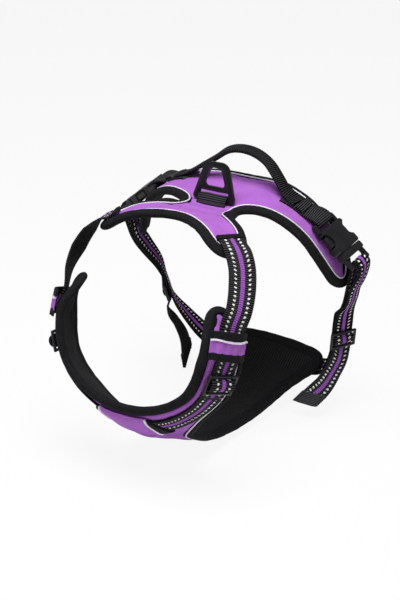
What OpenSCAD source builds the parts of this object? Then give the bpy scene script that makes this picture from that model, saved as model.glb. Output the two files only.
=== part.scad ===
// No-pull dog harness: a padded back panel and a padded chest panel, joined by
// adjustable shoulder webbing and by a girth strap with a side-release buckle on each side.
// Frame: x to the wearer's left, y to the rear, z up. Millimetres.

/* [Fit] */
// width of the trunk that the harness is set for, across the buckles
trunk_w = 240; // [210:5:270]
// length from the chest to the rear edge of the belly panel
trunk_l = 250; // [220:5:280]
// height of the girth from belly panel to back panel
trunk_h = 200; // [180:5:220]
// how much lower the left girth wing hangs than the drawn line
left_hang = 8; // [-10:1:10]
// how much lower the right girth wing hangs than the drawn line
right_hang = 0; // [-10:1:10]

/* [Panels] */
// thickness of the foam at its rim
foam_t = 5; // [4:0.5:7]
// rise of the padding inside the rim
puff = 1.2; // [0.5:0.1:2]
// thickness of the outer cover
cover_t = 0.8; // [0.6:0.1:1.2]
// thickness of the mesh lining
lining_t = 0.8; // [0.6:0.1:1.2]
// width of the rolled edge binding
binding_w = 10; // [7:0.5:11]
// diameter of the reflective piping
piping_d = 1.8; // [1.4:0.1:2.2]

/* [Webbing] */
// width of the shoulder, chest and wing webbing
strap_w = 25; // [20:1:28]
// width of the girth webbing
girth_w = 20; // [15:1:22]
// thickness of the webbing
web_t = 1.8; // [1.4:0.1:2]
// width of the handle at its grip
grip_w = 13; // [10:1:18]
// length of the folded strap tip
tip_l = 14; // [10:1:20]

/* [Leash ring] */
// width of the ring over its lower corners
ring_w = 43; // [38:1:48]
// height of the ring from the axis of its lower bar to its top
ring_h = 34; // [30:1:40]
// thickness of the ring and diameter of its lower bar
ring_d = 4.2; // [3.5:0.1:5]

/* [Buckles] */
// length of the socket
socket_l = 27; // [24:1:32]
// width of the buckle body
buckle_w = 33; // [30:1:36]
// thickness of the buckle body
buckle_t = 10; // [8:0.5:12]
// wall of the socket
wall = 1.6; // [1.2:0.1:2]

/* [Sliders] */
// length of the sliders along the strap
slider_l = 20; // [17:1:24]
// thickness of the slider bars
bar_d = 2.8; // [2.2:0.1:3.2]

/* [Hidden] */
$fn = 32;

kx = trunk_w / 240;
ky = trunk_l / 250;
kz = trunk_h / 200;
rows = 4;
half_rim = foam_t / 2;
cover_top = half_rim + cover_t;
lining_low = -half_rim - lining_t;
skin = 0.08;

// a place of the fitted harness
function at(x, y, z) = [x * kx, y * ky, z * kz];
function unit(v) = v / norm(v);
function mix(a, b, f) = a + (b - a) * f;
function flip(s, p) = [s * p[0], p[1], p[2]];
function flips(s, list) = [for (p = list) flip(s, p)];
function ease(f) = let (g = min(max(f, 0), 1)) g * g * (3 - 2 * g);

// smooth curve through a list of points, at the fraction f of its length in points
function from_middle(P) = is_list(P[0]) && P[0][0] == 0 && P[1][0] != 0;
function end(P, i) = let (n = len(P) - 1)
    i < 0 ? (from_middle(P) ? flip(-1, P[1]) : 2 * P[0] - P[1]) : i > n ? 2 * P[n] - P[n - 1] : P[i];
function gap(a, b) = max(norm(b - a), 0.001);
function bend(a, b, c, d, t) = let (
    u = gap(a, b), v = gap(b, c), w = gap(c, d),
    m = ((c - b) * u + (b - a) * v * v / u) / (u + v),
    n = ((c - b) * w + (d - c) * v * v / w) / (v + w),
    k = t * t * (3 - 2 * t))
    b * (1 - k) + c * k + m * t * (1 - t) * (1 - t) - n * t * t * (1 - t);
function span(P, f) = let (n = len(P) - 1) min(floor(min(max(f, 0), 1) * n), n - 1);
function along(P, f) = let (i = span(P, f))
    bend(end(P, i - 1), P[i], P[i + 1], end(P, i + 2), min(max(f, 0), 1) * (len(P) - 1) - i);
// values between those of a list, at the fraction f of it
function between(V, f) = let (i = span(V, f)) mix(V[i], V[i + 1], min(max(f, 0), 1) * (len(V) - 1) - i);

// back panel: inner line of the binding, from the spine to the left side
neck_edge = [at(0, -34, 95), at(30, -46, 95), at(48, -57, 90), at(58, -63.5, 82.5)];
waist = [at(0, 15, 83), at(20, 15, 84.5)];
wing_rear = [waist[1], at(22.5, 1, 88), at(33, -14, 91), at(51, -27, 89.5), at(66, -35, 82.5)];
girth_front = [waist[1], at(24, 26, 88), at(38, 32, 91), at(60, 39, 87), at(82, 48, 73), at(97, 57, 49),
    at(104, 63, 27)];
rear_edge = [at(0, 90, 91), at(40, 88, 90.5), at(62, 86, 86), at(83, 84, 74.5), at(102, 82, 57),
    at(113, 79, 38)];

// chest panel: inner line of the binding, from the middle to the left side
chest_neck = [at(0, -128, -57), at(34, -126, -51), at(65, -119, -30), at(76, -113, 2), at(77, -106, 20),
    at(71, -98, 31)];
keel = [at(0, -95, -95), at(0, -46, -116), at(0, 0, -124), at(0, 44, -120), at(0, 88, -106), at(0, 114, -86)];
belly_side = [at(30, -78, -96), at(28, -44, -115), at(29, 0, -124), at(34, 42, -121), at(41, 84, -110),
    at(50, 100, -101), at(61, 109, -90)];
arm_rear = [belly_side[0], at(54, -91, -66), at(80, -90, -34), at(87, -83, -3), at(86, -82, 17),
    at(80, -79, 31)];
// how far the belly panel has shifted to the left at its rear end
sway = 9.5;

// the girth wings hang a little unevenly
function hang(p) = p - [0, 0, (p[0] > 0 ? left_hang : right_hang) * ease((abs(p[0]) - 30) / 70)];

// share of a long edge that stands opposite column j of m, where k columns belong to the middle
function share(j, k, m, f) = j <= k ? f * j / k : f + (1 - f) * (j - k) / (m - k);
function tip(j, m) = pow(max(0, (j - m + 3) / 3), 2);
// share of the band's width at row i: the rows draw together at the tip
function row(i, j, m) = 0.5 + (i / rows - 0.5) * (1 - 0.5 * tip(j, m));
// the columns near the end of the waist bow towards the spine, so that they meet the notch squarely
function bow(i, g) = [7 * sin(180 * i / rows) * max(0, 1 - abs(g - back_mid) / 3), 0, 0];
// a line from the middle plane outwards that leaves it squarely
function across(a, b, f) = [mix(a[0], b[0], f), mix(a[1], b[1], f * f), mix(a[2], b[2], f * f)];

back_mid = 3;
back_cols = 13;
function neck_band(i, j) = let (
    g = abs(j),
    a = along(neck_edge, share(g, back_mid, back_cols, 0.22)),
    b = g <= back_mid ? across(waist[0], waist[1], g / back_mid)
        : along(wing_rear, (g - back_mid) / (back_cols - back_mid)),
    out = unit(neck_edge[3] - neck_edge[2]) * 5 * sin(180 * i / rows) * tip(g, back_cols))
    flip(j < 0 ? -1 : 1, mix(a, b, row(i, g, back_cols)) + out - bow(i, g));
function girth_band(i, j) = let (
    g = abs(j),
    a = g <= back_mid ? across(waist[0], waist[1], g / back_mid)
        : along(girth_front, (g - back_mid) / (back_cols - back_mid)),
    b = along(rear_edge, g <= back_mid ? 0.14 * g / back_mid
        : 0.14 + 0.86 * pow((g - back_mid) / (back_cols - back_mid), 1.8)),
    out = unit(girth_front[6] - girth_front[5]) * 6 * sin(180 * i / rows) * tip(g, back_cols))
    hang(flip(j < 0 ? -1 : 1, mix(a, b, row(i, g, back_cols)) + out - bow(i, g)));

chest_mid = 3;
chest_cols = 14;
belly_rows = 11;
function arm_band(i, j) = let (
    g = abs(j),
    a = along(chest_neck, share(g, chest_mid, chest_cols, 0.17)),
    b = g <= chest_mid ? across(keel[0], belly_side[0], g / chest_mid)
        : along(arm_rear, (g - chest_mid) / (chest_cols - chest_mid)),
    out = [-5, 1, 6] * sin(180 * i / rows) * tip(g, chest_cols))
    flip(j < 0 ? 1 : -1, mix(a, b, row(i, g, chest_cols)) + out);
function belly_band(i, j) = let (f = i / belly_rows)
    flip(j < 0 ? 1 : -1, across(along(keel, f), along(belly_side, f), abs(j) / chest_mid)) + [sway * f, 0, 0];

function grid(m) = [for (j = [-m:m]) j];
neck_grid = [for (i = [0:rows]) [for (j = grid(back_cols)) neck_band(i, j)]];
girth_grid = [for (i = [0:rows]) [for (j = grid(back_cols)) girth_band(i, j)]];
arm_grid = [for (i = [0:rows]) [for (j = grid(chest_cols)) arm_band(i, j)]];
belly_grid = [for (i = [0:belly_rows]) [for (j = grid(chest_mid)) belly_band(i, j)]];

// a padded panel is two grids joined over the middle columns of one row: [grid, grid, k]
back = [neck_grid, girth_grid, back_mid];
chest = [arm_grid, belly_grid, chest_mid];

function wide(G) = (len(G[0]) - 1) / 2;
function slope(G, i, at_j) = let (
    r = len(G) - 1, m = len(G[0]) - 1, k = m > 10 ? 2 : 1, j = min(max(at_j, k), m - k))
    unit(cross(G[i][j + 1] - G[i][j - 1], G[min(i + 1, r)][j] - G[max(i - 1, 0)][j]));
function joined(p, b, i, j) = abs(j - wide(p[b])) <= p[2] && i == (b == 0 ? len(p[0]) - 1 : 0);
function facing(p, b, i, j) = let (k = j - wide(p[b]))
    joined(p, b, i, j) ? unit(slope(p[0], len(p[0]) - 1, k + wide(p[0])) + slope(p[1], 0, k + wide(p[1])))
    : slope(p[b], i, j);
function rim(p, b, i, j) = let (m = wide(p[b]), last = len(p[b]) - 1)
    abs(j - m) == m || (b == 0 && i == 0) || (b == 1 && i == last)
    || (i == (b == 0 ? last : 0) && abs(j - m) >= p[2]);

// points, their outward directions and whether they lie on the rim, both grids in one list
function spots(p) = [for (b = [0, 1]) for (i = [0:len(p[b]) - 1]) for (j = [0:len(p[b][0]) - 1]) p[b][i][j]];
function faces_out(p) =
    [for (b = [0, 1]) for (i = [0:len(p[b]) - 1]) for (j = [0:len(p[b][0]) - 1]) facing(p, b, i, j)];
function inside(p) =
    [for (b = [0, 1]) for (i = [0:len(p[b]) - 1]) for (j = [0:len(p[b][0]) - 1]) rim(p, b, i, j) ? 0 : 1];
function spot(p, b, i, j) = b == 0 ? i * len(p[0][0]) + j
    : joined(p, 1, i, j) ? (len(p[0]) - 1) * len(p[0][0]) + j - wide(p[1]) + wide(p[0])
    : len(p[0]) * len(p[0][0]) + i * len(p[1][0]) + j;

// the rim, once round, seen from outside: the neck edge from right to left comes first
function rim_loop(p) = let (
    c = len(p[0][0]) - 1, r = len(p[0]) - 1, d = len(p[1][0]) - 1, q = len(p[1]) - 1,
    k = p[2], m = wide(p[0]), w = wide(p[1])) concat(
    [for (j = [0:c]) spot(p, 0, 0, j)],
    [for (i = [1:r]) spot(p, 0, i, c)],
    [for (j = [c - 1:-1:m + k]) spot(p, 0, r, j)],
    w > k ? [for (j = [w + k + 1:d]) spot(p, 1, 0, j)] : [],
    [for (i = [1:q]) spot(p, 1, i, d)],
    [for (j = [d - 1:-1:0]) spot(p, 1, q, j)],
    [for (i = [q - 1:-1:(w > k ? 0 : 1)]) spot(p, 1, i, 0)],
    w > k ? [for (j = [1:w - k - 1]) spot(p, 1, 0, j)] : [],
    [for (j = [m - k:-1:0]) spot(p, 0, r, j)],
    [for (i = [r - 1:-1:1]) spot(p, 0, i, 0)]);

// one layer of a panel between two heights, with the padding rising inside the rim
module layer(p, low, high, low_puff, high_puff) {
    P = spots(p);
    N = faces_out(p);
    W = inside(p);
    n = len(P);
    L = rim_loop(p);
    points = concat(
        [for (i = [0:n - 1]) P[i] + N[i] * (high + high_puff * W[i])],
        [for (i = [0:n - 1]) P[i] + N[i] * (low + low_puff * W[i])]);
    cells = [for (b = [0, 1]) for (i = [0:len(p[b]) - 2]) for (j = [0:len(p[b][0]) - 2]) let (
        c = [spot(p, b, i, j), spot(p, b, i, j + 1), spot(p, b, i + 1, j + 1), spot(p, b, i + 1, j)])
        norm(P[c[0]] - P[c[2]]) > norm(P[c[1]] - P[c[3]]) ? [c[1], c[2], c[3], c[0]] : c];
    walls = [for (i = [0:len(L) - 1]) [L[i], L[(i + 1) % len(L)]]];
    faces = concat(
        [for (c = cells) [c[0], c[2], c[1]]],
        [for (c = cells) [c[0], c[3], c[2]]],
        [for (c = cells) [n + c[0], n + c[1], n + c[2]]],
        [for (c = cells) [n + c[0], n + c[2], n + c[3]]],
        [for (w = walls) [w[0], w[1], n + w[0]]],
        [for (w = walls) [w[1], n + w[1], n + w[0]]]);
    polyhedron(points, faces, convexity = 8);
}

// closed skin over rings of points that follow each other
module skin_over(rings, loop = false) {
    m = len(rings[0]);
    r = len(rings);
    points = [for (ring = rings) for (p = ring) p];
    spans = [for (i = [0:r - (loop ? 1 : 2)]) for (j = [0:m - 1])
        [i * m + j, i * m + (j + 1) % m, ((i + 1) % r) * m + (j + 1) % m, ((i + 1) % r) * m + j]];
    faces = concat(
        [for (s = spans) [s[0], s[3], s[2]]],
        [for (s = spans) [s[0], s[2], s[1]]],
        loop ? [] : [[for (j = [0:m - 1]) j], [for (j = [m - 1:-1:0]) (r - 1) * m + j]]);
    polyhedron(points, faces, convexity = 8);
}

// a section carried round the rim of a panel: outward first, upward second
module round_rim(p, section) {
    P = spots(p);
    N = faces_out(p);
    L = rim_loop(p);
    c = len(L);
    rings = [for (i = [0:c - 1]) let (
        here = P[L[i]], up = N[L[i]],
        run = unit(unit(P[L[(i + 1) % c]] - here) + unit(here - P[L[(i + c - 1) % c]])),
        out = unit(cross(run, up)))
        [for (s = section) here + out * s[0] + up * s[1]]];
    skin_over(rings, true);
}

// flat webbing along a curve P that faces the directions Q; widths and thicknesses may change along it
module webbing(P, Q, w, t, steps, shift = 0, lift = 0) {
    W = is_list(w) ? w : [w, w];
    T = is_list(t) ? t : [t, t];
    rings = [for (i = [0:steps]) let (
        f = i / steps, h = 0.5 / steps, here = along(P, f),
        run = unit(along(P, f + h) - along(P, f - h)),
        q = between(Q, f), up = unit(q - (q * run) * run), side = cross(up, run),
        a = between(W, f) / 2, b = between(T, f) / 2, e = min(b, 1))
        [for (s = [[-a, 0], [e - a, -b], [a - e, -b], [a, 0], [a - e, b], [e - a, b]])
            here + side * (s[0] + shift) + up * (s[1] + lift)]];
    skin_over(rings);
}

// a place on a grid, counted in rows and columns, and at a height above it
function cell(v, n) = min(max(floor(v), 0), n - 2);
function place(G, r, c) = let (i = cell(r, len(G)), j = cell(c, len(G[0])))
    mix(mix(G[i][j], G[i][j + 1], c - j), mix(G[i + 1][j], G[i + 1][j + 1], c - j), r - i);
function tilt(G, r, c) =
    unit(cross(place(G, r, c + 0.5) - place(G, r, c - 0.5), place(G, r + 0.5, c) - place(G, r - 0.5, c)));
function above(G, r, c, h) = place(G, r, c) + tilt(G, r, c) * h;
// columns count from the middle: the back grid runs to the left, the chest grid to the right
function wing_col(s, g) = back_cols + s * g;
function arm_col(s, g) = chest_cols - s * g;
function belly_col(s, g) = chest_mid - s * g;

padded = cover_top + puff;
on_cover = padded + web_t / 2 + 0.25;
on_arm = on_cover + 0.9;

module in_frame(o, x, y, z) {
    multmatrix([[x[0], y[0], z[0], o[0]], [x[1], y[1], z[1], o[1]], [x[2], y[2], z[2], o[2]], [0, 0, 0, 1]])
        children();
}

// shoulder webbing: sewn on the neck wing, then down the arm, under the keeper and the slider
keeper_g = 10.9;
slider_g = 7.9;
wing_g = [10.2, 11.3, 12.6];
arm_g = [12.1, 10.9, 9.4, 8, 7];
free_run = [at(72, -55, 84.5), at(80, -61, 74), at(85.5, -70.5, 59), at(88, -82, 42)];
// the right strap is turned, so that its edge points forward
function free_face(s) = s > 0
    ? [[0.65, -0.35, 0.68], [0.75, -0.5, 0.45], [0.75, -0.55, 0.35], [0.8, -0.5, 0.25]]
    : [[-0.7, -0.15, 0.68], [-0.88, 0.05, 0.45], [-0.95, 0.05, 0.28], [-0.9, -0.25, 0.2]];
function shoulder_path(s) = concat(
    [for (g = wing_g) above(neck_grid, 2, wing_col(s, g), on_cover + (g - 9.6) * 0.4)],
    flips(s, free_run),
    [for (g = arm_g) above(arm_grid, 2, arm_col(s, g), on_arm)]);
function shoulder_face(s) = concat(
    [for (g = wing_g) tilt(neck_grid, 2, wing_col(s, g))],
    free_face(s),
    [for (g = arm_g) tilt(arm_grid, 2, arm_col(s, g))]);
chest_run = [[6.9, 2], [5.9, 1.85], [4.8, 1.6], [3.6, 1.35], [2.6, 1.2], [1.4, 1.1]];
function chest_path(s) = [for (p = chest_run) above(arm_grid, p[1], arm_col(s, p[0]), on_arm)];
function chest_face(s) = [for (p = chest_run) tilt(arm_grid, p[1], arm_col(s, p[0]))];
module shoulder_strap(s) webbing(shoulder_path(s), shoulder_face(s), strap_w, web_t, 40);
module chest_webbing(s) webbing(chest_path(s), chest_face(s), strap_w, web_t, 14);

// keeper: a cloth band across the arm, sewn down at both edges of it
keeper_w = 12;
keeper_t = 1;
function keeper_row(i) = [-0.85, -0.4, 0.25, 1.1, 2.9, 3.75, 4.4, 4.85][i];
function keeper_rise(i) = [1.5, 2.7, 4.5, 4.9, 4.9, 4.5, 2.7, 1.5][i];
function keeper_path(s) =
    [for (i = [0:7]) above(arm_grid, keeper_row(i), arm_col(s, keeper_g), padded + 0.1 + keeper_rise(i))];
function keeper_face(s) = [for (i = [0:7]) tilt(arm_grid, 2, arm_col(s, keeper_g))];
module keeper(s) webbing(keeper_path(s), keeper_face(s), keeper_w, keeper_t, 20);
module keeper_edges(s) {
    webbing(keeper_path(s), keeper_face(s), 7, keeper_t + 0.6, 20, s * ((keeper_w + 7) / 2 + skin));
    webbing(keeper_path(s), keeper_face(s), 6, keeper_t + 0.6, 20, -s * ((keeper_w + 6) / 2 + skin));
}
module keeper_piping(s)
    webbing(keeper_path(s), keeper_face(s), 1.6, 1.2, 20,
        s * (keeper_w / 2 - 0.9), keeper_t / 2 + 0.6 + skin);

// sliders: a frame of round bars; the webbing humps over the middle bar
function line_frame(o, ahead, out) = let (y = unit(ahead), z = unit(out - (out * y) * y))
    [o, cross(y, z), y, z];
module bar(a, b) {
    v = b - a;
    translate(a) rotate([0, acos(v[2] / norm(v)), atan2(v[1], v[0])]) cylinder(d = bar_d, h = norm(v));
}
module slider(w, h) {
    x = w / 2 + 0.8 + bar_d / 2;
    y = slider_l / 2 - bar_d / 2;
    for (v = [-y, 0, y]) bar([-x, v, h], [x, v, h]);
    for (u = [-x, x]) bar([u, -y, h], [u, y, h]);
    for (u = [-x, x]) for (v = [-y, y]) translate([u, v, h]) sphere(d = bar_d);
}
function hump(f, h, list) = [for (p = list) f[0] + f[2] * p[0] + f[3] * (h + p[1])];

shoulder_bar_h = web_t / 2 + 0.35 + bar_d / 2;
function shoulder_slider_at(s) = let (c = arm_col(s, slider_g))
    line_frame(above(arm_grid, 2, c, on_arm), place(arm_grid, 2, c - s) - place(arm_grid, 2, c + s),
        tilt(arm_grid, 2, c));
wrap_h = bar_d / 2 + web_t / 2 + 0.1;
wrap = [[-5.4, -0.7], [-4.4, 0.2], [-3, 1.6], [0, wrap_h], [3, 1.6], [4.4, 0.2], [5.4, -0.7]];
wrap_face = [[-0.9, 0.4], [-0.8, 0.6], [-0.4, 0.9], [0, 1], [0.4, 0.9], [0.8, 0.6], [0.9, 0.4]];
function turn(f, list) = [for (p = list) f[2] * p[0] + f[3] * p[1]];
module shoulder_slider(s) {
    f = shoulder_slider_at(s);
    in_frame(f[0], f[1], f[2], f[3]) slider(strap_w, shoulder_bar_h);
}
module shoulder_wrap(s) {
    f = shoulder_slider_at(s);
    webbing(hump(f, shoulder_bar_h, wrap), turn(f, wrap_face), strap_w, web_t, 16);
}

// girth webbing: from the belly panel up to the buckle, round its bar and down again
// the buckle stands off the tip of the wing: its loop bar lies on the cover, its plug swings out
loop_d = 4;
loop_y = -7;
loop_h = padded + web_t + 1.2 + loop_d / 2;
buckle_swing = 10;
function buckle_frame(s) = let (
    k = above(girth_grid, 2.5, wing_col(s, 9.9), loop_h),
    run = unit(place(girth_grid, 2.5, wing_col(s, 11.6)) - place(girth_grid, 2.5, wing_col(s, 9.4))),
    out = tilt(girth_grid, 2.5, wing_col(s, 10.4)),
    y = run * cos(buckle_swing) + out * sin(buckle_swing))
    line_frame(k - unit(y) * loop_y, y, out);
plug_bar_y = socket_l + 16;
hold_r = 2 + web_t / 2 + 0.4;
function plug_bar(s) = let (f = buckle_frame(s)) f[0] + f[2] * plug_bar_y;
function girth_low(s) = s > 0 ? at(97, 102, -64) : at(-97, 102, -55);
function girth_high(s) = flip(s, at(106, 90, -8));
function girth_run(s) = unit(girth_high(s) - girth_low(s));
function girth_out(s) = let (r = girth_run(s), n = [s * 0.8, -0.58, 0]) unit(n - (n * r) * r);
function over_tip(s, p) = hang(flip(s, p));
function tip_run(s) = over_tip(s, at(120.5, 74, 21));
function fall_run(s) = over_tip(s, at(114, 81, 5));
// both laps leave the bar downwards, one on each side of it
function lap_down(s) = let (a = buckle_frame(s)[1], v = tip_run(s) - plug_bar(s)) unit(v - (v * a) * a);
function lap_out(s) = unit(cross(buckle_frame(s)[1], lap_down(s)));
function girth_path(s) = let (k = plug_bar(s), o = girth_out(s) * (web_t + 0.35), d = lap_down(s),
    n = lap_out(s), low = girth_low(s), high = girth_high(s)) concat(
    [above(belly_grid, 10, belly_col(s, 2), on_cover),
        above(belly_grid, 10.2, belly_col(s, 2.7), on_cover + 0.5),
        above(belly_grid, 10.4, belly_col(s, 3.4), on_cover + 1.4),
        s > 0 ? at(88, 108, -81) : at(-85, 109, -75)],
    [for (v = [0, 0.25, 0.5, 0.75]) mix(low, high, v)],
    [fall_run(s), tip_run(s) - n * 0.4, k + d * 7 - n * (hold_r - 0.5)],
    [for (a = [180:30:360]) k + (d * sin(a) + n * cos(a)) * hold_r],
    [k + d * 7 + n * (hold_r - 0.2), tip_run(s) + n * 2.6, fall_run(s) + [s * 3.8, -0.8, 0]],
    [for (v = [0.75, 0.5, 0.28]) mix(low, high, v) + o * (1 + 2 * max(0, v - 0.5))]);
function girth_face(s) = let (o = girth_out(s), m = [s * 0.95, -0.25, 0.1], d = lap_down(s),
    n = lap_out(s)) concat(
    [for (g = [2, 2.7]) tilt(belly_grid, 10, belly_col(s, g))],
    [[s * 0.35, 0.4, -0.8], s > 0 ? [0.68, -0.1, -0.65] : [-0.68, -0.1, -0.65]],
    [o, o, o, mix(o, m, 0.3)],
    [m, mix(m, n, 0.6), n],
    [for (a = [180:30:360]) -(d * sin(a) + n * cos(a))],
    [-n, -mix(m, n, 0.6), -m],
    [-mix(o, m, 0.3), -o, -o]);
module girth_strap(s) webbing(girth_path(s), girth_face(s), girth_w, web_t, 66);

girth_bar_h = web_t * 1.5 + 0.35 + 0.35 + bar_d / 2;
function girth_slider_at(s) =
    line_frame(mix(girth_low(s), girth_high(s), 0.2), girth_run(s), girth_out(s));
module girth_slider(s) {
    f = girth_slider_at(s);
    in_frame(f[0], f[1], f[2], f[3]) slider(girth_w, girth_bar_h);
}
tail_head = [[5.4, -0.6], [4.4, 0.3], [3, 1.6], [0, wrap_h], [-3, 1.5], [-4.8, -0.6], [-7, -2.1],
    [-10, -2.4]];
tail_turn = [[0.9, 0.4], [0.8, 0.6], [0.4, 0.9], [0, 1], [-0.4, 0.9], [-0.8, 0.6], [-0.3, 0.95],
    [0, 1]];
left_fall = [at(99, 97, -76), at(95, 92, -89), at(90, 84, -102), at(82, 73, -113)];
left_fall_face = [[0.85, -0.5, 0.1], [0.85, -0.5, 0.2], [0.75, -0.5, 0.4], [0.62, -0.45, 0.62]];
right_fall = [at(-99.5, 96, -69), at(-92, 100, -83), at(-85, 104, -100), at(-82, 105, -119)];
right_fall_face = [[-0.82, -0.56, 0], [-0.85, -0.4, -0.35], [-0.93, -0.2, -0.25], [-0.97, -0.1, -0.1]];
function tail_path(s) =
    concat(hump(girth_slider_at(s), girth_bar_h, tail_head), s > 0 ? left_fall : right_fall);
function tail_face(s) =
    concat(turn(girth_slider_at(s), tail_turn), s > 0 ? left_fall_face : right_fall_face);
module girth_tail(s) webbing(tail_path(s), tail_face(s), girth_w, web_t, 40);
module strap_tip(s) {
    P = s > 0 ? left_fall : right_fall;
    Q = s > 0 ? left_fall_face : right_fall_face;
    d = unit(P[3] - P[2]);
    webbing([P[3] + d * 0.3, P[3] + d * tip_l / 2, P[3] + d * tip_l], [Q[3], Q[3], Q[3]],
        girth_w + 1, web_t * 1.9, 4);
}

// side-release buckle, in its own frame: x across, y towards the plug, z outwards
hook_y = 8;
hook_l = 9.5;
window_l = hook_l + 4.8;
prong_w = 3.2;
prong_x = buckle_w / 2 - 6.9;
plug_gap = 0.4;
module block(x, y, z) translate([-x / 2, 0, -z / 2]) cube([x, y, z]);
module rounded_block(x, y, z, r) {
    translate([0, r, 0]) block(x, y - 2 * r, z);
    block(x - 2 * r, y, z);
    for (u = [-1, 1], v = [r, y - r])
        translate([u * (x / 2 - r), v, 0]) cylinder(r = r, h = z, center = true);
}
// two side arms that carry a round bar for the webbing, from the body's end at y = a to the bar at y = b
module strap_bar(w, a, b) {
    for (u = [-1, 1]) translate([u * (w / 2 - 1.7), min(a, b), 0]) block(3.4, abs(b - a), loop_d);
    translate([0, b, 0]) rotate([0, 90, 0]) cylinder(d = loop_d, h = w, center = true);
}
// scallops in the sides of the socket leave the buttons of the prongs in reach
module socket() {
    difference() {
        rounded_block(buckle_w, socket_l, buckle_t, 3);
        for (u = [-1, 1]) translate([u * (buckle_w / 2 + 3), hook_y + 3.5, 0])
            cylinder(r = 8.2, h = buckle_t + 2, center = true);
        translate([0, 4, 0]) block(buckle_w - 2 * wall, socket_l, buckle_t - 2 * wall);
        translate([0, hook_y - 3.6, 0]) block(buckle_w + 2, window_l, buckle_t - 2 * wall);
    }
    strap_bar(buckle_w, 0.5, loop_y);
}
module plug() {
    translate([0, socket_l + plug_gap, 0]) rounded_block(buckle_w - 2, 7, buckle_t - 1, 2);
    translate([0, hook_y, 0]) block(6, socket_l - hook_y + 1, buckle_t - 2 * wall - 1.6);
    strap_bar(buckle_w - 2, socket_l + 6, plug_bar_y);
}
module prong(u) {
    t = buckle_t - 2 * wall - 1.6;
    translate([u * (prong_x + prong_w / 2), hook_y, 0]) block(prong_w, socket_l - hook_y, t);
    translate([u * (prong_x + 3.1), hook_y, 0]) block(6.2, hook_l, t);
    translate([u * (prong_x + 3.1), hook_y, -t / 2]) cylinder(d = 6.2, h = t);
}
module on_buckle(s) {
    f = buckle_frame(s);
    in_frame(f[0], f[1], f[2], f[3]) children();
}

// wing webbing: along the girth wing and round the bar of the socket
function loop_bar(s) = let (f = buckle_frame(s)) f[0] + f[2] * loop_y;
loop_r = loop_d / 2 + web_t / 2 + 0.1;
flat_g = [7, 7.4, 7.8, 8.2, 8.7];
function wing_path(s) = let (f = buckle_frame(s), k = loop_bar(s)) concat(
    [for (g = flat_g) above(girth_grid, 2.4, wing_col(s, g), on_cover + (g > 7.5 ? 0.4 : 0.1))],
    [k - f[2] * 4 + f[3] * (loop_r - 0.4)],
    [for (a = [0:30:180]) k + (f[2] * sin(a) + f[3] * cos(a)) * loop_r], [k - f[2] * 2 - f[3] * loop_r]);
function wing_face(s) = let (f = buckle_frame(s)) concat(
    [for (g = flat_g) tilt(girth_grid, 2.4, wing_col(s, g))], [f[3]],
    [for (a = [0:30:180]) f[2] * sin(a) + f[3] * cos(a)], [-f[3]]);
module wing_webbing(s) webbing(wing_path(s), wing_face(s), strap_w, web_t, 36);

// carry handle: webbing rolled into a grip, sewn on the wing webbing at both ends
on_webbing = on_cover + web_t + 0.95;
handle_feet = [[2.3, 8.15], [2.4, 7.6]];
function handle_foot(s) = [for (p = handle_feet) above(girth_grid, p[0], wing_col(s, p[1]), on_webbing)];
function handle_foot_face(s) = [for (p = handle_feet) tilt(girth_grid, p[0], wing_col(s, p[1]))];
left_half = [at(52, 66, 99), at(43, 68, 109), at(29, 73, 120), at(14, 75, 126)];
right_half = [at(-50, 66.5, 99.7), at(-40, 68.3, 106), at(-26.5, 72.5, 115), at(-14, 75, 124)];
handle_out = [[0.72, -0.05, 0.7], [0.68, -0.1, 0.73], [0.5, -0.1, 0.86], [0.22, -0.15, 0.96]];
handle_wide = [strap_w - 2, strap_w - 3, grip_w + 3, grip_w + 1, grip_w, grip_w];
handle_thick = [web_t, web_t, 3, 4.4, 5, 5.2];
function back_to(list) = [for (i = [len(list) - 1:-1:0]) list[i]];
handle_path = concat(handle_foot(-1), right_half, back_to(left_half), back_to(handle_foot(1)));
handle_face = concat(handle_foot_face(-1), flips(-1, handle_out), back_to(handle_out),
    back_to(handle_foot_face(1)));
module handle() color("DimGray") webbing(handle_path, handle_face,
    concat(handle_wide, back_to(handle_wide)), concat(handle_thick, back_to(handle_thick)), 44);

// leash ring: cast flat with a cross bar; its round lower bar turns in a webbing tab on the spine
ring_row = 0.55;
ring_h0 = padded + 2.5 + ring_d / 2;
ring_place = above(girth_grid, ring_row, back_cols, ring_h0);
ring_lean = 10;
ring_wall = 6;
cross_y = 9.2;
cross_t = 4.2;
slot_w = ring_w - 2 * ring_wall;
top_r = 10.4;
corner_r = 3.4;
module ring_outline() hull() for (u = [-1, 1]) {
    translate([u * (ring_w / 2 - corner_r), corner_r - ring_d / 2 - 0.3]) circle(r = corner_r);
    translate([u * top_r * 0.4, ring_h - top_r]) circle(r = top_r);
}
module ring_eye() hull() for (u = [-1, 1]) {
    translate([u * (slot_w / 4), cross_y + cross_t / 2 + 3]) circle(r = 3);
    translate([u * 2, ring_h - ring_wall * 0.9 - 5.5]) circle(r = 5.5);
}
module leash_ring() color("SlateGray") translate(ring_place) rotate([90 - ring_lean, 0, 0]) {
    linear_extrude(ring_d, center = true) difference() {
        ring_outline();
        translate([-slot_w / 2, -ring_d]) square([slot_w, ring_d + cross_y - cross_t / 2]);
        ring_eye();
    }
    rotate([0, 90, 0]) cylinder(d = ring_d, h = slot_w + 2, center = true);
}
tab_top = ring_h0 + ring_d / 2 + 0.35 + web_t / 2;
on_saddle = on_cover + 0.7;
tab_rise = [[-0.55, 0.6], [-0.44, 0.6], [-0.26, 3], [0, tab_top - on_saddle], [0.26, 3], [0.44, 0.1],
    [0.68, 0]];
tab_path = [for (p = tab_rise) above(girth_grid, ring_row + p[0], back_cols, on_saddle + p[1])];
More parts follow.
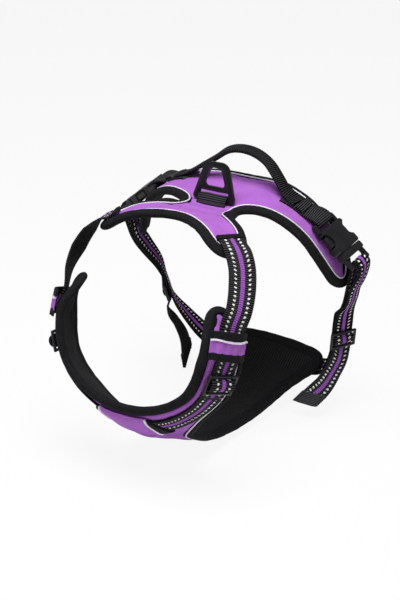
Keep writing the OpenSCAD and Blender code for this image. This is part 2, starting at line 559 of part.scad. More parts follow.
tab_face = [[0, 0, 1], [0, -0.2, 1], [0, -0.8, 0.6], [0, 0, 1], [0, 0.8, 0.6], [0, 0.2, 1], [0, 0, 1]];
module ring_tab() color("DimGray") webbing(tab_path, tab_face, slot_w - 1.4, web_t, 26);

// centre patch over the ends of the chest webbing, bound and piped at both ends
patch_row = 1.05;
patch_h = on_arm + web_t / 2 + 1.2;
patch_g = [-2.4, -1.2, 0, 1.2, 2.4];
patch_path = [for (g = patch_g) above(arm_grid, patch_row, chest_cols + g, patch_h)];
patch_face = [for (g = patch_g) tilt(arm_grid, patch_row, chest_cols + g)];
patch_end = [-2.8, -2.46, 2.46, 2.8];
module chest_patch() color("MediumPurple") webbing(patch_path, patch_face, strap_w + 3, 1, 12);
module patch_binding() color("Black") for (i = [0, 2]) webbing(
    [for (g = [patch_end[i], patch_end[i + 1]]) above(arm_grid, patch_row, chest_cols + g, patch_h)],
    [for (g = [patch_end[i], patch_end[i + 1]]) tilt(arm_grid, patch_row, chest_cols + g)],
    strap_w + 4, 1.8, 2);
module patch_piping() color("Gainsboro") for (u = [-2.3, 2.1]) webbing(
    [for (g = [u, u + 0.2]) above(arm_grid, patch_row, chest_cols + g, patch_h + 0.5 + 0.55 + skin)],
    [for (g = [u, u + 0.2]) tilt(arm_grid, patch_row, chest_cols + g)], strap_w + 2, 1.1, 2);

// panel layers, the rolled binding round them and the piping along it
lip = piping_d + 2 * skin;
binding = [[skin, lining_low - 0.3], [skin, half_rim - skin], [lip, half_rim - skin], [lip, cover_top + 0.5],
    [binding_w * 0.45, cover_top + 1.2], [binding_w * 0.8, cover_top], [binding_w, 0.3],
    [binding_w * 0.8, lining_low + 0.2], [binding_w * 0.4, lining_low - 0.8]];
piping = [[skin * 2, half_rim], [skin * 2, half_rim + piping_d * 0.8],
    [piping_d / 2, half_rim + piping_d * 1.15],
    [piping_d - skin, half_rim + piping_d * 0.8], [piping_d - skin, half_rim]];
module back_cover() color("MediumPurple") layer(back, half_rim, cover_top, puff, puff);
module back_foam() color("Khaki") layer(back, -half_rim, half_rim, -puff / 2, puff);
module back_lining() color("Black") layer(back, lining_low, -half_rim, -puff / 2, -puff / 2);
module back_binding() color("DimGray") round_rim(back, binding);
module back_piping() color("Gainsboro") round_rim(back, piping);
module chest_cover() color("MediumPurple") layer(chest, half_rim, cover_top, puff, puff);
module chest_foam() color("Khaki") layer(chest, -half_rim, half_rim, -puff / 2, puff);
module chest_lining() color("Black") layer(chest, lining_low, -half_rim, -puff / 2, -puff / 2);
module chest_binding() color("DimGray") round_rim(chest, binding);
module chest_piping() color("Gainsboro") round_rim(chest, piping);

// the pieces of each side
module left_shoulder_strap() color("DimGray") shoulder_strap(1);
module left_shoulder_slider() color("SlateGray") shoulder_slider(1);
module left_shoulder_wrap() color("DimGray") shoulder_wrap(1);
module left_keeper() color("MediumPurple") keeper(1);
module left_keeper_edges() color("DimGray") keeper_edges(1);
module left_keeper_piping() color("Gainsboro") keeper_piping(1);
module left_chest_webbing() color("DimGray") chest_webbing(1);
module left_girth_strap() color("DimGray") girth_strap(1);
module left_girth_slider() color("SlateGray") girth_slider(1);
module left_girth_tail() color("DimGray") girth_tail(1);
module left_strap_tip() color("Black") strap_tip(1);
module left_wing_webbing() color("DimGray") wing_webbing(1);
module left_buckle_socket() color("Black") on_buckle(1) socket();
module left_buckle_plug() color("Black") on_buckle(1) plug();
module left_prong_front() color("Black") on_buckle(1) prong(1);
module left_prong_rear() color("Black") on_buckle(1) prong(-1);
module right_shoulder_strap() color("DimGray") shoulder_strap(-1);
module right_shoulder_slider() color("SlateGray") shoulder_slider(-1);
module right_shoulder_wrap() color("DimGray") shoulder_wrap(-1);
module right_keeper() color("MediumPurple") keeper(-1);
module right_keeper_edges() color("DimGray") keeper_edges(-1);
module right_keeper_piping() color("Gainsboro") keeper_piping(-1);
module right_chest_webbing() color("DimGray") chest_webbing(-1);
module right_girth_strap() color("DimGray") girth_strap(-1);
module right_girth_slider() color("SlateGray") girth_slider(-1);
module right_girth_tail() color("DimGray") girth_tail(-1);
module right_strap_tip() color("Black") strap_tip(-1);
module right_wing_webbing() color("DimGray") wing_webbing(-1);
module right_buckle_socket() color("Black") on_buckle(-1) socket();
module right_buckle_plug() color("Black") on_buckle(-1) plug();
module right_prong_front() color("Black") on_buckle(-1) prong(-1);
module right_prong_rear() color("Black") on_buckle(-1) prong(1);

back_cover();
back_foam();
back_lining();
back_binding();
back_piping();
ring_tab();
leash_ring();
handle();
chest_cover();
chest_foam();
chest_lining();
chest_binding();
chest_piping();
chest_patch();
patch_binding();
patch_piping();
left_shoulder_strap();
left_shoulder_slider();
left_shoulder_wrap();
left_keeper();
left_keeper_edges();
left_keeper_piping();
left_chest_webbing();
left_girth_strap();
left_girth_slider();
left_girth_tail();
left_strap_tip();
left_wing_webbing();
left_buckle_socket();
left_buckle_plug();
left_prong_front();
left_prong_rear();
right_shoulder_strap();
right_shoulder_slider();
right_shoulder_wrap();
right_keeper();
right_keeper_edges();
right_keeper_piping();
right_chest_webbing();
right_girth_strap();
right_girth_slider();
right_girth_tail();
right_strap_tip();
right_wing_webbing();
right_buckle_socket();
right_buckle_plug();
right_prong_front();
right_prong_rear();
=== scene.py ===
import math

import bpy
import numpy as np
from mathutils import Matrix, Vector, noise


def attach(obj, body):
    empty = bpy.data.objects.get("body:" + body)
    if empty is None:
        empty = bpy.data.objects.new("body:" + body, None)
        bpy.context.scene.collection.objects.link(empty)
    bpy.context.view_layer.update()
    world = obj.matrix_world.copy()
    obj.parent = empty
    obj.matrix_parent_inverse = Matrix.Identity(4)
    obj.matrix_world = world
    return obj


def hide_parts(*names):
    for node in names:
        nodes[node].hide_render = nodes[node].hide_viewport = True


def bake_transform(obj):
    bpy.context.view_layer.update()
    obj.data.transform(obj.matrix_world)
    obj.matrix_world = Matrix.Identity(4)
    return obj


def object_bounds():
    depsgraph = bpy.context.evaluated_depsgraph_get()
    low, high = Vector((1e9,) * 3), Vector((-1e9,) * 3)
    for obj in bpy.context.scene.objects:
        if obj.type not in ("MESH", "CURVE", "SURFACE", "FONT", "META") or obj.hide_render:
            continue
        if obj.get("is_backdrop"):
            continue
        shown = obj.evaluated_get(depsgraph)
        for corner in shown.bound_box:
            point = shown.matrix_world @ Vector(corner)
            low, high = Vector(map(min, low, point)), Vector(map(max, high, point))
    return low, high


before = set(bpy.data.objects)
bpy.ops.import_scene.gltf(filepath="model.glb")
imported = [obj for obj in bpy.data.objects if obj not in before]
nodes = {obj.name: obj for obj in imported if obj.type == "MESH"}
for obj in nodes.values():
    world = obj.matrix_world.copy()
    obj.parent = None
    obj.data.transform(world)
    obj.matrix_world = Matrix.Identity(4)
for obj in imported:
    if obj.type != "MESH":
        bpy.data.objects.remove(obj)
cad_low, cad_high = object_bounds()
bpy.ops.object.select_all(action="DESELECT")

# Back panel: a saddle of violet polyester over foam, lined with black mesh. Cover, foam and lining
# are sewn together round the rim and turned under a rolled binding, so the cloth swells between
# the seams. Its two bands, neck and girth, meet over the spine at the waist.
BAND_ROWS = 4
BACK_MIDDLE = 3
BACK_COLUMNS = 13
LEFT_HANG = 0.008
HANG_FROM = 0.03
HANG_OVER = 0.07
FOAM = 0.005
CLOTH = 0.0008
PUFF = 0.0012
COVER_TOP = FOAM / 2 + CLOTH
GRID_STEPS = 4


def spot(x, y, z):
    """A place on the harness, given in millimetres."""
    return np.array((x, y, z), float) * 0.001


def spots(*places):
    return [spot(*p) for p in places]


def unit(v):
    """One direction, or each row of a list of them, at length 1."""
    return v / np.linalg.norm(v, axis=-1, keepdims=True)


def mix(a, b, f):
    return a + (b - a) * f


def mirrored(s, p):
    """The same place on the left side (s = 1) or on the right side (s = -1)."""
    return np.array((s * p[0], p[1], p[2]))


def ease(f):
    g = min(max(f, 0.0), 1.0)
    return g * g * (3 - 2 * g)


def smooth_curve(points, f):
    """Place on the smooth curve through a list of places; f runs from 0 to 1 over the list."""
    last = len(points) - 1
    f = min(max(f, 0.0), 1.0) * last
    i = min(int(f), last - 1)
    t = f - i
    b, c = points[i], points[i + 1]
    if i > 0:
        a = points[i - 1]
    elif len(b) == 3 and b[0] == 0 and c[0] != 0:
        a = mirrored(-1, c)
    else:
        a = 2 * b - c
    d = points[i + 2] if i + 2 <= last else 2 * c - b
    u, v, w = (max(np.linalg.norm(q - p), 1e-6) for p, q in ((a, b), (b, c), (c, d)))
    start = ((c - b) * u + (b - a) * v * v / u) / (u + v)
    stop = ((c - b) * w + (d - c) * v * v / w) / (v + w)
    k = t * t * (3 - 2 * t)
    return b * (1 - k) + c * k + start * t * (1 - t) ** 2 - stop * t * t * (1 - t)


def edge_share(g, middle, columns, share):
    """Share of a long edge that stands opposite column g, where the middle columns take a share."""
    if g <= middle:
        return share * g / middle
    return share + (1 - share) * (g - middle) / (columns - middle)


def from_spine(a, b, f):
    """A line from the middle plane outwards that leaves it squarely."""
    return np.array((mix(a[0], b[0], f), mix(a[1], b[1], f * f), mix(a[2], b[2], f * f)))


def inner_edge(start, edge, g, middle, columns):
    """Out from the spine over the middle columns, then along the edge of a wing or an arm."""
    if g <= middle:
        return from_spine(start, edge[0], g / middle)
    return smooth_curve(edge, (g - middle) / (columns - middle))


def middle_swell(i):
    """Nothing at the long edges of a band, 1 half way between them."""
    return math.sin(math.pi * min(max(i / BAND_ROWS, 0), 1))


def between_edges(front, rear, i, g, columns, tip):
    """Place on row i between the long edges. The rows draw together at the tip, which bulges out."""
    near_tip = max(0.0, (g - columns + 3) / 3) ** 2
    share = 0.5 + (i / BAND_ROWS - 0.5) * (1 - 0.5 * near_tip)
    return mix(front, rear, share) + tip * middle_swell(i) * near_tip


NECK_EDGE = spots((0, -34, 95), (30, -46, 95), (48, -57, 90), (58, -63.5, 82.5))
WAIST = spots((0, 15, 83), (21.5, 15, 84.2))
WING_REAR = [WAIST[1]] + spots((25.5, 1, 87.2), (33, -14, 91), (51, -27, 89.5), (66, -35, 82.5))
GIRTH_FRONT = [WAIST[1]] + spots(
    (25.5, 25, 86.8), (38, 31, 89.2), (60, 39, 86.6), (82, 48, 73), (97, 57, 49), (104, 63, 27))
REAR_EDGE = spots(
    (0, 90, 91), (40, 88, 90.5), (62, 86, 86), (83, 84, 74.5), (102, 82, 57), (113, 79, 38))
NECK_SHARE = 0.22
REAR_SHARE = 0.14
REAR_SPREAD = 1.8
NOTCH_BOW = 0.007
NECK_TIP = unit(NECK_EDGE[3] - NECK_EDGE[2]) * 0.005
GIRTH_TIP = unit(GIRTH_FRONT[6] - GIRTH_FRONT[5]) * 0.006


def notch_bow(i, g):
    """Columns near the end of the waist bow towards the spine, to meet the notch squarely."""
    near = max(0.0, 1 - abs(g - BACK_MIDDLE) / 3)
    return np.array((NOTCH_BOW * middle_swell(i) * near, 0, 0))


def hang(p):
    """The left girth wing hangs a little lower than the right one."""
    drop = LEFT_HANG * ease((p[0] - HANG_FROM) / HANG_OVER) if p[0] > 0 else 0.0
    return p - np.array((0, 0, drop))


def neck_band(i, j):
    g = abs(j)
    front = smooth_curve(NECK_EDGE, edge_share(g, BACK_MIDDLE, BACK_COLUMNS, NECK_SHARE))
    rear = inner_edge(WAIST[0], WING_REAR, g, BACK_MIDDLE, BACK_COLUMNS)
    p = between_edges(front, rear, i, g, BACK_COLUMNS, NECK_TIP) - notch_bow(i, g)
    return mirrored(-1 if j < 0 else 1, p)


def girth_band(i, j):
    g = abs(j)
    front = inner_edge(WAIST[0], GIRTH_FRONT, g, BACK_MIDDLE, BACK_COLUMNS)
    wing = max(0.0, (g - BACK_MIDDLE) / (BACK_COLUMNS - BACK_MIDDLE))
    share = REAR_SHARE * min(g / BACK_MIDDLE, 1) + (1 - REAR_SHARE) * wing ** REAR_SPREAD
    rear = smooth_curve(REAR_EDGE, share)
    p = between_edges(front, rear, i, g, BACK_COLUMNS, GIRTH_TIP) - notch_bow(i, g)
    return hang(mirrored(-1 if j < 0 else 1, p))


def facing(band, i, j, step=0.25):
    """Outward direction of a band at a row and a column."""
    across = band(i, j + step) - band(i, j - step)
    down = band(i + step, j) - band(i - step, j)
    return unit(np.cross(across, down))


def above(band, i, j, height):
    return band(i, j) + facing(band, i, j) * height


def laid(band, places, height):
    """Points at a height above a band and the directions that it faces there, by row and column."""
    return [above(band, i, j, height) for i, j in places], [facing(band, i, j) for i, j in places]


def cloth_grid(name, places, metres):
    """A grid primitive whose points are moved to places[row][column], with its UV map in metres."""
    rows, columns = len(places), len(places[0])
    bpy.ops.object.select_all(action="DESELECT")
    bpy.ops.mesh.primitive_grid_add(x_subdivisions=columns - 1, y_subdivisions=rows - 1, size=1)
    piece = bpy.context.active_object
    piece.name = piece.data.name = name
    mesh = piece.data
    flat = np.empty(len(mesh.vertices) * 3)
    mesh.vertices.foreach_get("co", flat)
    flat = flat.reshape(-1, 3)
    col = np.rint((flat[:, 0] + 0.5) * (columns - 1)).astype(int)
    row = np.rint((flat[:, 1] + 0.5) * (rows - 1)).astype(int)
    mesh.vertices.foreach_set("co", np.asarray(places)[row, col].ravel())
    corner = np.empty(len(mesh.loops), int)
    mesh.loops.foreach_get("vertex_index", corner)
    mesh.uv_layers[0].data.foreach_set("uv", np.asarray(metres)[row, col][corner].ravel())
    mesh.update()
    return piece


def lengths(line):
    """Distance along a line of places, at each of them."""
    return np.concatenate([[0], np.linalg.norm(np.diff(line, axis=0), axis=1).cumsum()])


def arc_lengths(places):
    """Distance along each row from its middle and along each column from its start."""
    p = np.asarray(places)
    right = np.array([lengths(row) for row in p])
    right -= right[:, right.shape[1] // 2][:, None]
    down = np.array([lengths(column) for column in p.swapaxes(0, 1)]).T
    return np.stack([right, down], 2)


def band_sheet(name, band, rows, columns, row_steps=GRID_STEPS):
    i_steps = np.linspace(0, rows, rows * row_steps + 1)
    j_steps = np.linspace(-columns, columns, 2 * columns * GRID_STEPS + 1)
    places = [[band(i, j) for j in j_steps] for i in i_steps]
    return cloth_grid(name, places, arc_lengths(places))


def make_active(piece):
    bpy.ops.object.select_all(action="DESELECT")
    piece.select_set(True)
    bpy.context.view_layer.objects.active = piece


def in_edit_mode(piece, *steps):
    make_active(piece)
    bpy.ops.object.mode_set(mode="EDIT")
    bpy.ops.mesh.select_all(action="SELECT")
    for step in steps:
        step()
    bpy.ops.object.mode_set(mode="OBJECT")


def finish_modifiers(piece):
    make_active(piece)
    for name in [m.name for m in piece.modifiers]:
        bpy.ops.object.modifier_apply(modifier=name)


def subdivided(piece, levels):
    round_off = piece.modifiers.new("round_off", "SUBSURF")
    round_off.levels = round_off.render_levels = levels
    return piece


def walled(piece, thick, front, back):
    """A wall on a sheet, half on each side of it, with one cloth on its face and one on its back."""
    piece.data.materials.append(front)
    piece.data.materials.append(back)
    wall = piece.modifiers.new("thickness", "SOLIDIFY")
    wall.thickness = thick
    wall.offset = 0
    wall.material_offset = wall.material_offset_rim = 1
    return piece


def smooth(piece, degrees):
    make_active(piece)
    bpy.ops.object.shade_smooth_by_angle(angle=math.radians(degrees))
    return piece


PAD_PRESSURE = 3.0
PAD_RISE = 0.0015
SWELL_STEPS = 20


def sewn_pad(name, first, second, cover, lining):
    """Two bands merged where they meet, given thickness and swollen by a cloth simulation."""
    make_active(first)
    second.select_set(True)
    bpy.ops.object.join()
    in_edit_mode(first, lambda: bpy.ops.mesh.remove_doubles(threshold=0.0002))
    first.name = first.data.name = name
    count = np.zeros(len(first.data.edges), int)
    for face in first.data.polygons:
        for key in face.loop_indices:
            count[first.data.loops[key].edge_index] += 1
    rim = {v for e, n in zip(first.data.edges, count) if n == 1 for v in e.vertices}
    seam = first.vertex_groups.new(name="seam")
    seam.add(sorted(rim), 1.0, "REPLACE")
    finish_modifiers(walled(first, FOAM + 2 * CLOTH, cover, lining))
    swell(first)
    finish_modifiers(subdivided(first, 1))
    return smooth(first, 60)


def swell(pad):
    """Air pressure in a short cloth simulation, with the seam pinned and the rise capped."""
    before = np.array([v.co for v in pad.data.vertices])
    cloth = pad.modifiers.new("swell", "CLOTH")
    fabric = cloth.settings
    fabric.quality = 6
    fabric.mass = 0.2
    fabric.tension_stiffness = fabric.compression_stiffness = 12
    fabric.bending_stiffness = 0.3
    fabric.shrink_min = -0.02
    fabric.vertex_group_mass = "seam"
    fabric.use_pressure = True
    fabric.uniform_pressure_force = PAD_PRESSURE
    fabric.effector_weights.gravity = 0
    cloth.collision_settings.use_collision = False
    for step in range(1, SWELL_STEPS + 1):
        bpy.context.scene.frame_set(step)
    swollen = pad.evaluated_get(bpy.context.evaluated_depsgraph_get())
    after = np.array([v.co for v in swollen.data.vertices])
    pad.modifiers.remove(cloth)
    bpy.context.scene.frame_set(1)
    move = after - before
    far = np.linalg.norm(move, axis=1)
    keep = np.minimum(1, PAD_RISE / np.maximum(far, 1e-9))
    pad.data.vertices.foreach_set("co", (before + move * keep[:, None]).ravel())
    pad.data.update()


def fasten(piece, body, slot, *replaced):
    """Parent a piece to the empty of the body it rides on and hide the CAD nodes it stands for. The slot
    argument is not used.
    """
    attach(piece, body)
    if replaced:
        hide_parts(*replaced)
    return piece


class Finish:
    """A procedural material: its principled shader and the nodes that feed it."""

    def __init__(self, name, roughness, sheen=0.0, shine=0.08):
        self.material = bpy.data.materials.new(name)
        self.material.use_nodes = True
        self.tree = self.material.node_tree
        self.principled = self.tree.nodes["Principled BSDF"]
        self.put("Roughness", roughness)
        self.put("Sheen Weight", sheen)
        self.put("Sheen Roughness", 0.4)
        self.put("Specular IOR Level", shine)

    def put(self, socket, value):
        self.principled.inputs[socket].default_value = value

    def join(self, source, target):
        self.tree.links.new(source, target)

    def node(self, kind, **values):
        made = self.tree.nodes.new(kind)
        for key, value in values.items():
            if hasattr(made, key):
                setattr(made, key, value)
            else:
                made.inputs[key].default_value = value
        return made

    def maths(self, kind, a, b=None, clamp=False):
        made = self.node("ShaderNodeMath", operation=kind, use_clamp=clamp)
        for socket, value in zip(made.inputs, (a, b)):
            if isinstance(value, (int, float)):
                socket.default_value = value
            elif value is not None:
                self.join(value, socket)
        return made.outputs[0]

    def scaled(self, value, gain, base):
        return self.maths("ADD", self.maths("MULTIPLY", value, gain), base)

    def cloth_axes(self):
        """Metres along and across the cloth, from the UV map of the piece."""
        parts = self.node("ShaderNodeSeparateXYZ")
        self.join(self.node("ShaderNodeUVMap").outputs[0], parts.inputs[0])
        return parts.outputs["X"], parts.outputs["Y"]

    def ripple(self, metres, length):
        """Ridges of a given length, from 0 between them to 1 on top."""
        turn = self.maths("MULTIPLY", metres, math.pi / length)
        return self.maths("ABSOLUTE", self.maths("SINE", turn))

    def speckle(self, scale, detail, roughness=0.5):
        """An uneven mottle that stays in place on the piece."""
        mottle = self.node("ShaderNodeTexNoise", Scale=scale, Detail=detail, Roughness=roughness)
        self.join(self.node("ShaderNodeTexCoord").outputs["Object"], mottle.inputs["Vector"])
        return mottle.outputs["Fac"]

    def between(self, share, low, high):
        """A colour between two others, each written out or made by other nodes."""
        ramp = self.node("ShaderNodeMix", data_type="RGBA")
        self.join(share, ramp.inputs[0])
        for socket, colour in zip(ramp.inputs[6:8], (low, high)):
            if isinstance(colour, tuple):
                socket.default_value = (*colour, 1)
            else:
                self.join(colour, socket)
        return ramp.outputs[2]

    def finished(self, colour, height, strength, depth):
        """The material, with its colour and its relief joined to the shader."""
        if isinstance(colour, tuple):
            self.put("Base Color", (*colour, 1))
        else:
            self.join(colour, self.principled.inputs["Base Color"])
        bump = self.node("ShaderNodeBump", Strength=strength, Distance=depth)
        self.join(height, bump.inputs["Height"])
        self.join(bump.outputs[0], self.principled.inputs["Normal"])
        return self.material


VIOLET_SHADE = (0.31, 0.092, 0.445)
VIOLET_LIGHT = (0.51, 0.182, 0.67)
THREAD = 0.0006
MESH_RIB = 0.0026
# Mesh colours: painted shade between the ribs and painted highlight on their tops.
MESH_SHADE = (0.003, 0.003, 0.0035)
MESH_LIGHT = (0.028, 0.028, 0.030)


def woven_cloth(name):
    """Violet plain weave: two sets of threads cross, over a soft mottle of colour. Where the threads rise,
    the colour is painted lighter as highlight.
    """
    f = Finish(name, 0.62, 0.03)
    along, across = f.cloth_axes()
    weave = f.maths("MULTIPLY", f.ripple(along, THREAD), f.ripple(across, THREAD))
    mottle = f.maths("MULTIPLY", f.speckle(55, 4, 0.6), 0.75)
    # Random mottle of tone, plus painted highlight where the threads rise.
    shade = f.maths("ADD", mottle, f.maths("MULTIPLY", weave, 0.3), True)
    return f.finished(f.between(shade, VIOLET_SHADE, VIOLET_LIGHT), weave, 0.5, 0.0002)


def ribbed_mesh(name):
    """Black spacer mesh: fine ribs along the cloth, with rows of tiny open holes between them. The colour
    follows the relief: painted highlight on the rib tops, painted shade between them.
    """
    f = Finish(name, 0.9, 0.03)
    along, across = f.cloth_axes()
    knot = f.scaled(f.ripple(across, MESH_RIB / 2), 0.35, 0.65)
    height = f.maths("MULTIPLY", f.ripple(along, MESH_RIB), knot)
    return f.finished(f.between(height, MESH_SHADE, MESH_LIGHT), height, 0.7, 0.0006)


violet_cover = woven_cloth("violet_cover")
black_mesh = ribbed_mesh("black_mesh")
back_pad = sewn_pad(
    "back_pad",
    band_sheet("back_neck_cloth", neck_band, BAND_ROWS, BACK_COLUMNS),
    band_sheet("back_girth_cloth", girth_band, BAND_ROWS, BACK_COLUMNS, 5), violet_cover, black_mesh)
fasten(back_pad, "harness", "cover_cloth", "back_cover", "back_foam", "back_lining")

# Chest and belly panel: one Y-shaped pad of the same three layers. Its arms rise on both sides of
# the neck and its belly band runs back between the forelegs to the girth straps.
CHEST_MIDDLE = 3
CHEST_COLUMNS = 14
BELLY_ROWS = 11
CHEST_NECK = spots(
    (0, -128, -57), (34, -126, -51), (65, -119, -30), (76, -113, 2), (77, -106, 20), (71, -98, 31))
CHEST_SHARE = 0.17
KEEL = spots((0, -95, -95), (0, -46, -116), (0, 0, -124), (0, 44, -120), (0, 88, -106), (0, 114, -86))
BELLY_SIDE = spots(
    (30, -78, -96), (28, -44, -115), (29, 0, -124), (34, 42, -121), (41, 84, -110), (50, 100, -101),
    (61, 109, -90))
ARM_REAR = [BELLY_SIDE[0]] + spots(
    (54, -91, -66), (80, -90, -34), (87, -83, -3), (86, -82, 17), (80, -79, 31))
BELLY_SWAY = 0.0095
ARM_TIP = spot(-5, 1, 6)


def arm_band(i, j):
    """Columns count to the wearer's right, so that the outer face is the one away from the wearer."""
    g = abs(j)
    front = smooth_curve(CHEST_NECK, edge_share(g, CHEST_MIDDLE, CHEST_COLUMNS, CHEST_SHARE))
    rear = inner_edge(KEEL[0], ARM_REAR, g, CHEST_MIDDLE, CHEST_COLUMNS)
    p = between_edges(front, rear, i, g, CHEST_COLUMNS, ARM_TIP)
    return mirrored(1 if j < 0 else -1, p)


def belly_band(i, j):
    f = i / BELLY_ROWS
    p = from_spine(smooth_curve(KEEL, f), smooth_curve(BELLY_SIDE, f), abs(j) / CHEST_MIDDLE)
    return mirrored(1 if j < 0 else -1, p) + np.array((BELLY_SWAY * f, 0, 0))


chest_pad = sewn_pad(
    "chest_pad",
    band_sheet("arm_cloth", arm_band, BAND_ROWS, CHEST_COLUMNS),
    band_sheet("belly_cloth", belly_band, BELLY_ROWS, CHEST_MIDDLE), violet_cover, black_mesh)
fasten(chest_pad, "harness", "cover_cloth", "chest_cover", "chest_foam", "chest_lining")

# Edge binding: soft black cloth rolled over the raw rim of each panel and stitched through, so it
# stands as a thick round bead with small puckers. It hides the rim of cover, foam and lining.
BINDING_STEP = 0.003
BINDING_PUCKER = 0.0006
BINDING_ROLL = [
    (-3.6, -2.2), (-3.6, 1.8), (1.9, 2.5), (2.1, 3.8), (4.3, 4.7), (7.4, 3.7), (9.4, 1.6), (9.8, -0.6),
    (8.0, -3.2), (4.0, -4.2)]
CORNER_EASE = 6
NARROWEST = 0.5
# BLACK_SHADE is the painted shade in the hollows of the binding twill and of the webbing ribs;
# BINDING_LIGHT is the painted highlight on the twill ridges.
BLACK_SHADE = (0.0015, 0.0015, 0.0018)
BINDING_LIGHT = (0.027, 0.027, 0.030)
TWILL = 0.0009


def rim_walk(first, first_columns, second, second_rows, second_columns, middle):
    """Points and outward directions once round the rim of a panel, seen from outside."""
    def run(band, i0, i1, j0, j1, limit):
        n = round(max(abs(i1 - i0), abs(j1 - j0)) * GRID_STEPS)
        for k in range(n):
            i, j = mix(i0, i1, k / n), mix(j0, j1, k / n)
            yield band(i, j), facing(band, i, min(max(j, -limit), limit))
    a, b, last = first_columns, second_columns, second_rows
    legs = [
        (first, 0, 0, -a, a), (first, 0, BAND_ROWS, a, a), (first, BAND_ROWS, BAND_ROWS, a, middle),
        (second, 0, 0, middle, b), (second, 0, last, b, b), (second, last, last, b, -b),
        (second, last, 0, -b, -b), (second, 0, 0, -b, -middle),
        (first, BAND_ROWS, BAND_ROWS, -middle, -a), (first, BAND_ROWS, 0, -a, -a)]
    inset = 2 if b > middle else 1
    found = [q for leg in legs for q in run(*leg, (a if leg[0] is first else b) - inset)]
    return np.array([q[0] for q in found]), np.array([q[1] for q in found])


def eased(values, times):
    """A closed row of values, each drawn towards its two neighbours."""
    for _ in range(times):
        values = (np.roll(values, 1, 0) + 2 * values + np.roll(values, -1, 0)) / 4
    return values


def spaced(at, length, values):
    """Places or directions of a line at given distances along it."""
    return np.stack([np.interp(at, length, values[:, k]) for k in range(3)], 1)


def even_loop(places, ups, step):
    """The same closed walk at even distances, with its corners and directions eased."""
    places, ups = (np.vstack([v, v[:1]]) for v in (places, ups))
    length = lengths(places)
    at = np.linspace(0, length[-1], int(round(length[-1] / step)), endpoint=False)
    p = eased(spaced(at, length, places), CORNER_EASE)
    u = unit(eased(spaced(at, length, ups), CORNER_EASE))
    run = unit(eased(np.roll(p, -1, 0) - np.roll(p, 1, 0), 2))
    out = unit(np.cross(run, u))
    return p, out, np.cross(out, run), length[-1]


def corner_reach(p, out, widest):
    """Share of its width that a rim keeps, so that it doesn't fold over itself in an inner corner."""
    span = np.roll(p, -1, 0) - np.roll(p, 1, 0)
    run = unit(span)
    turn = (np.roll(run, -1, 0) - np.roll(run, 1, 0)) / np.linalg.norm(span, axis=1)[:, None]
    bend = np.maximum((turn * out).sum(1) * widest, 1e-6)
    reach = np.clip(0.9 / bend, NARROWEST, 1)
    for _ in range(2 * CORNER_EASE):
        reach = np.minimum(reach, (np.roll(reach, 1) + reach + np.roll(reach, -1)) / 3)
    return reach


def beaded_rim(name, walk, section, step, pucker=0.0):
    """A section in millimetres, outward and upward, carried round a rim and closed on itself."""
    p, out, up, length = even_loop(*walk, step)
    count, sides = len(p), len(section)
    ring = np.array(section + section[:1]) * 0.001
    reach = corner_reach(p, out, ring[:, 0].max())
    places = np.empty((count + 1, sides + 1, 3))
    for k in range(count + 1):
        i = k % count
        for s, (x, y) in enumerate(ring):
            spread = 0.0
            if pucker and x > 0.001:
                q = p[i] * 130 + up[i] * y * 220 + out[i] * x * 160
                spread = pucker * noise.noise(Vector(q)) * min(1, x / 0.004)
            rise = y + spread * (0.7 if y > 0 else -0.7)
            places[k, s] = p[i] + out[i] * (x + spread) * reach[i] + up[i] * rise
    metres = np.stack(np.meshgrid(np.linspace(0, length, count + 1), lengths(ring), indexing="ij"), 2)
    bead = cloth_grid(name, places, metres)
    in_edit_mode(
        bead,
        lambda: bpy.ops.mesh.remove_doubles(threshold=0.00002),
        lambda: bpy.ops.mesh.normals_make_consistent(inside=False))
    return bead


def soft_black_cloth(name):
    """Matt black knitted binding: a fine slanting twill with a trace of lighter fluff on it. The twill
    ridges carry painted highlight and the hollows carry painted shade.
    """
    f = Finish(name, 0.8, 0.01)
    twill = f.ripple(f.maths("ADD", *f.cloth_axes()), TWILL)
    # Painted highlight on the twill ridges, with random lighter fluff over it.
    shade = f.maths("MULTIPLY", f.scaled(twill, 0.5, 0.5), f.speckle(320, 5, 0.7), True)
    return f.finished(f.between(shade, BLACK_SHADE, BINDING_LIGHT), twill, 0.5, 0.0003)


black_binding = soft_black_cloth("black_binding")
back_walk = rim_walk(neck_band, BACK_COLUMNS, girth_band, BAND_ROWS, BACK_COLUMNS, BACK_MIDDLE)
chest_walk = rim_walk(arm_band, CHEST_COLUMNS, belly_band, BELLY_ROWS, CHEST_MIDDLE, CHEST_MIDDLE)
for panel, walk in (("back", back_walk), ("chest", chest_walk)):
    bead = beaded_rim(panel + "_edge_roll", walk, BINDING_ROLL, BINDING_STEP, BINDING_PUCKER)
    finish_modifiers(subdivided(bead, 1))
    smooth(bead, 80)
    bead.data.materials.append(black_binding)
    fasten(bead, "harness", "binding_cloth", panel + "_binding")

# Reflective piping: a thin cord in silver-white tape, caught in the seam between the cover and the
# binding, so it stands as a fine bright line round both panels. Along the chest it is drawn deep into
# the neck seam and hardly shows there, and in the notches of the back panel it lies a little higher.
PIPING_RADIUS = 0.68
PIPING_STEP = 0.0035
SUNK_PIPING = 0.0022
NOTCH = spot(23, 16, 86)
NOTCH_LIFT = 0.0007
NOTCH_REACH = 0.022
PIPING_TURNS = [math.radians(-a) for a in range(0, 360, 45)]
PIPING_BEAD = [
    (0.95 + PIPING_RADIUS * math.cos(a), 3.7 + PIPING_RADIUS * math.sin(a)) for a in PIPING_TURNS]
SILVER_SHADE = (0.70, 0.67, 0.74)
SILVER_LIGHT = (0.92, 0.90, 0.95)


def silver_tape(name):
    """Silver-white reflective tape: tiny glass beads give a soft grain and a satin shine."""
    f = Finish(name, 0.38, shine=0.5)
    grain = f.speckle(900, 2)
    return f.finished(f.between(grain, SILVER_SHADE, SILVER_LIGHT), grain, 0.3, 0.0002)


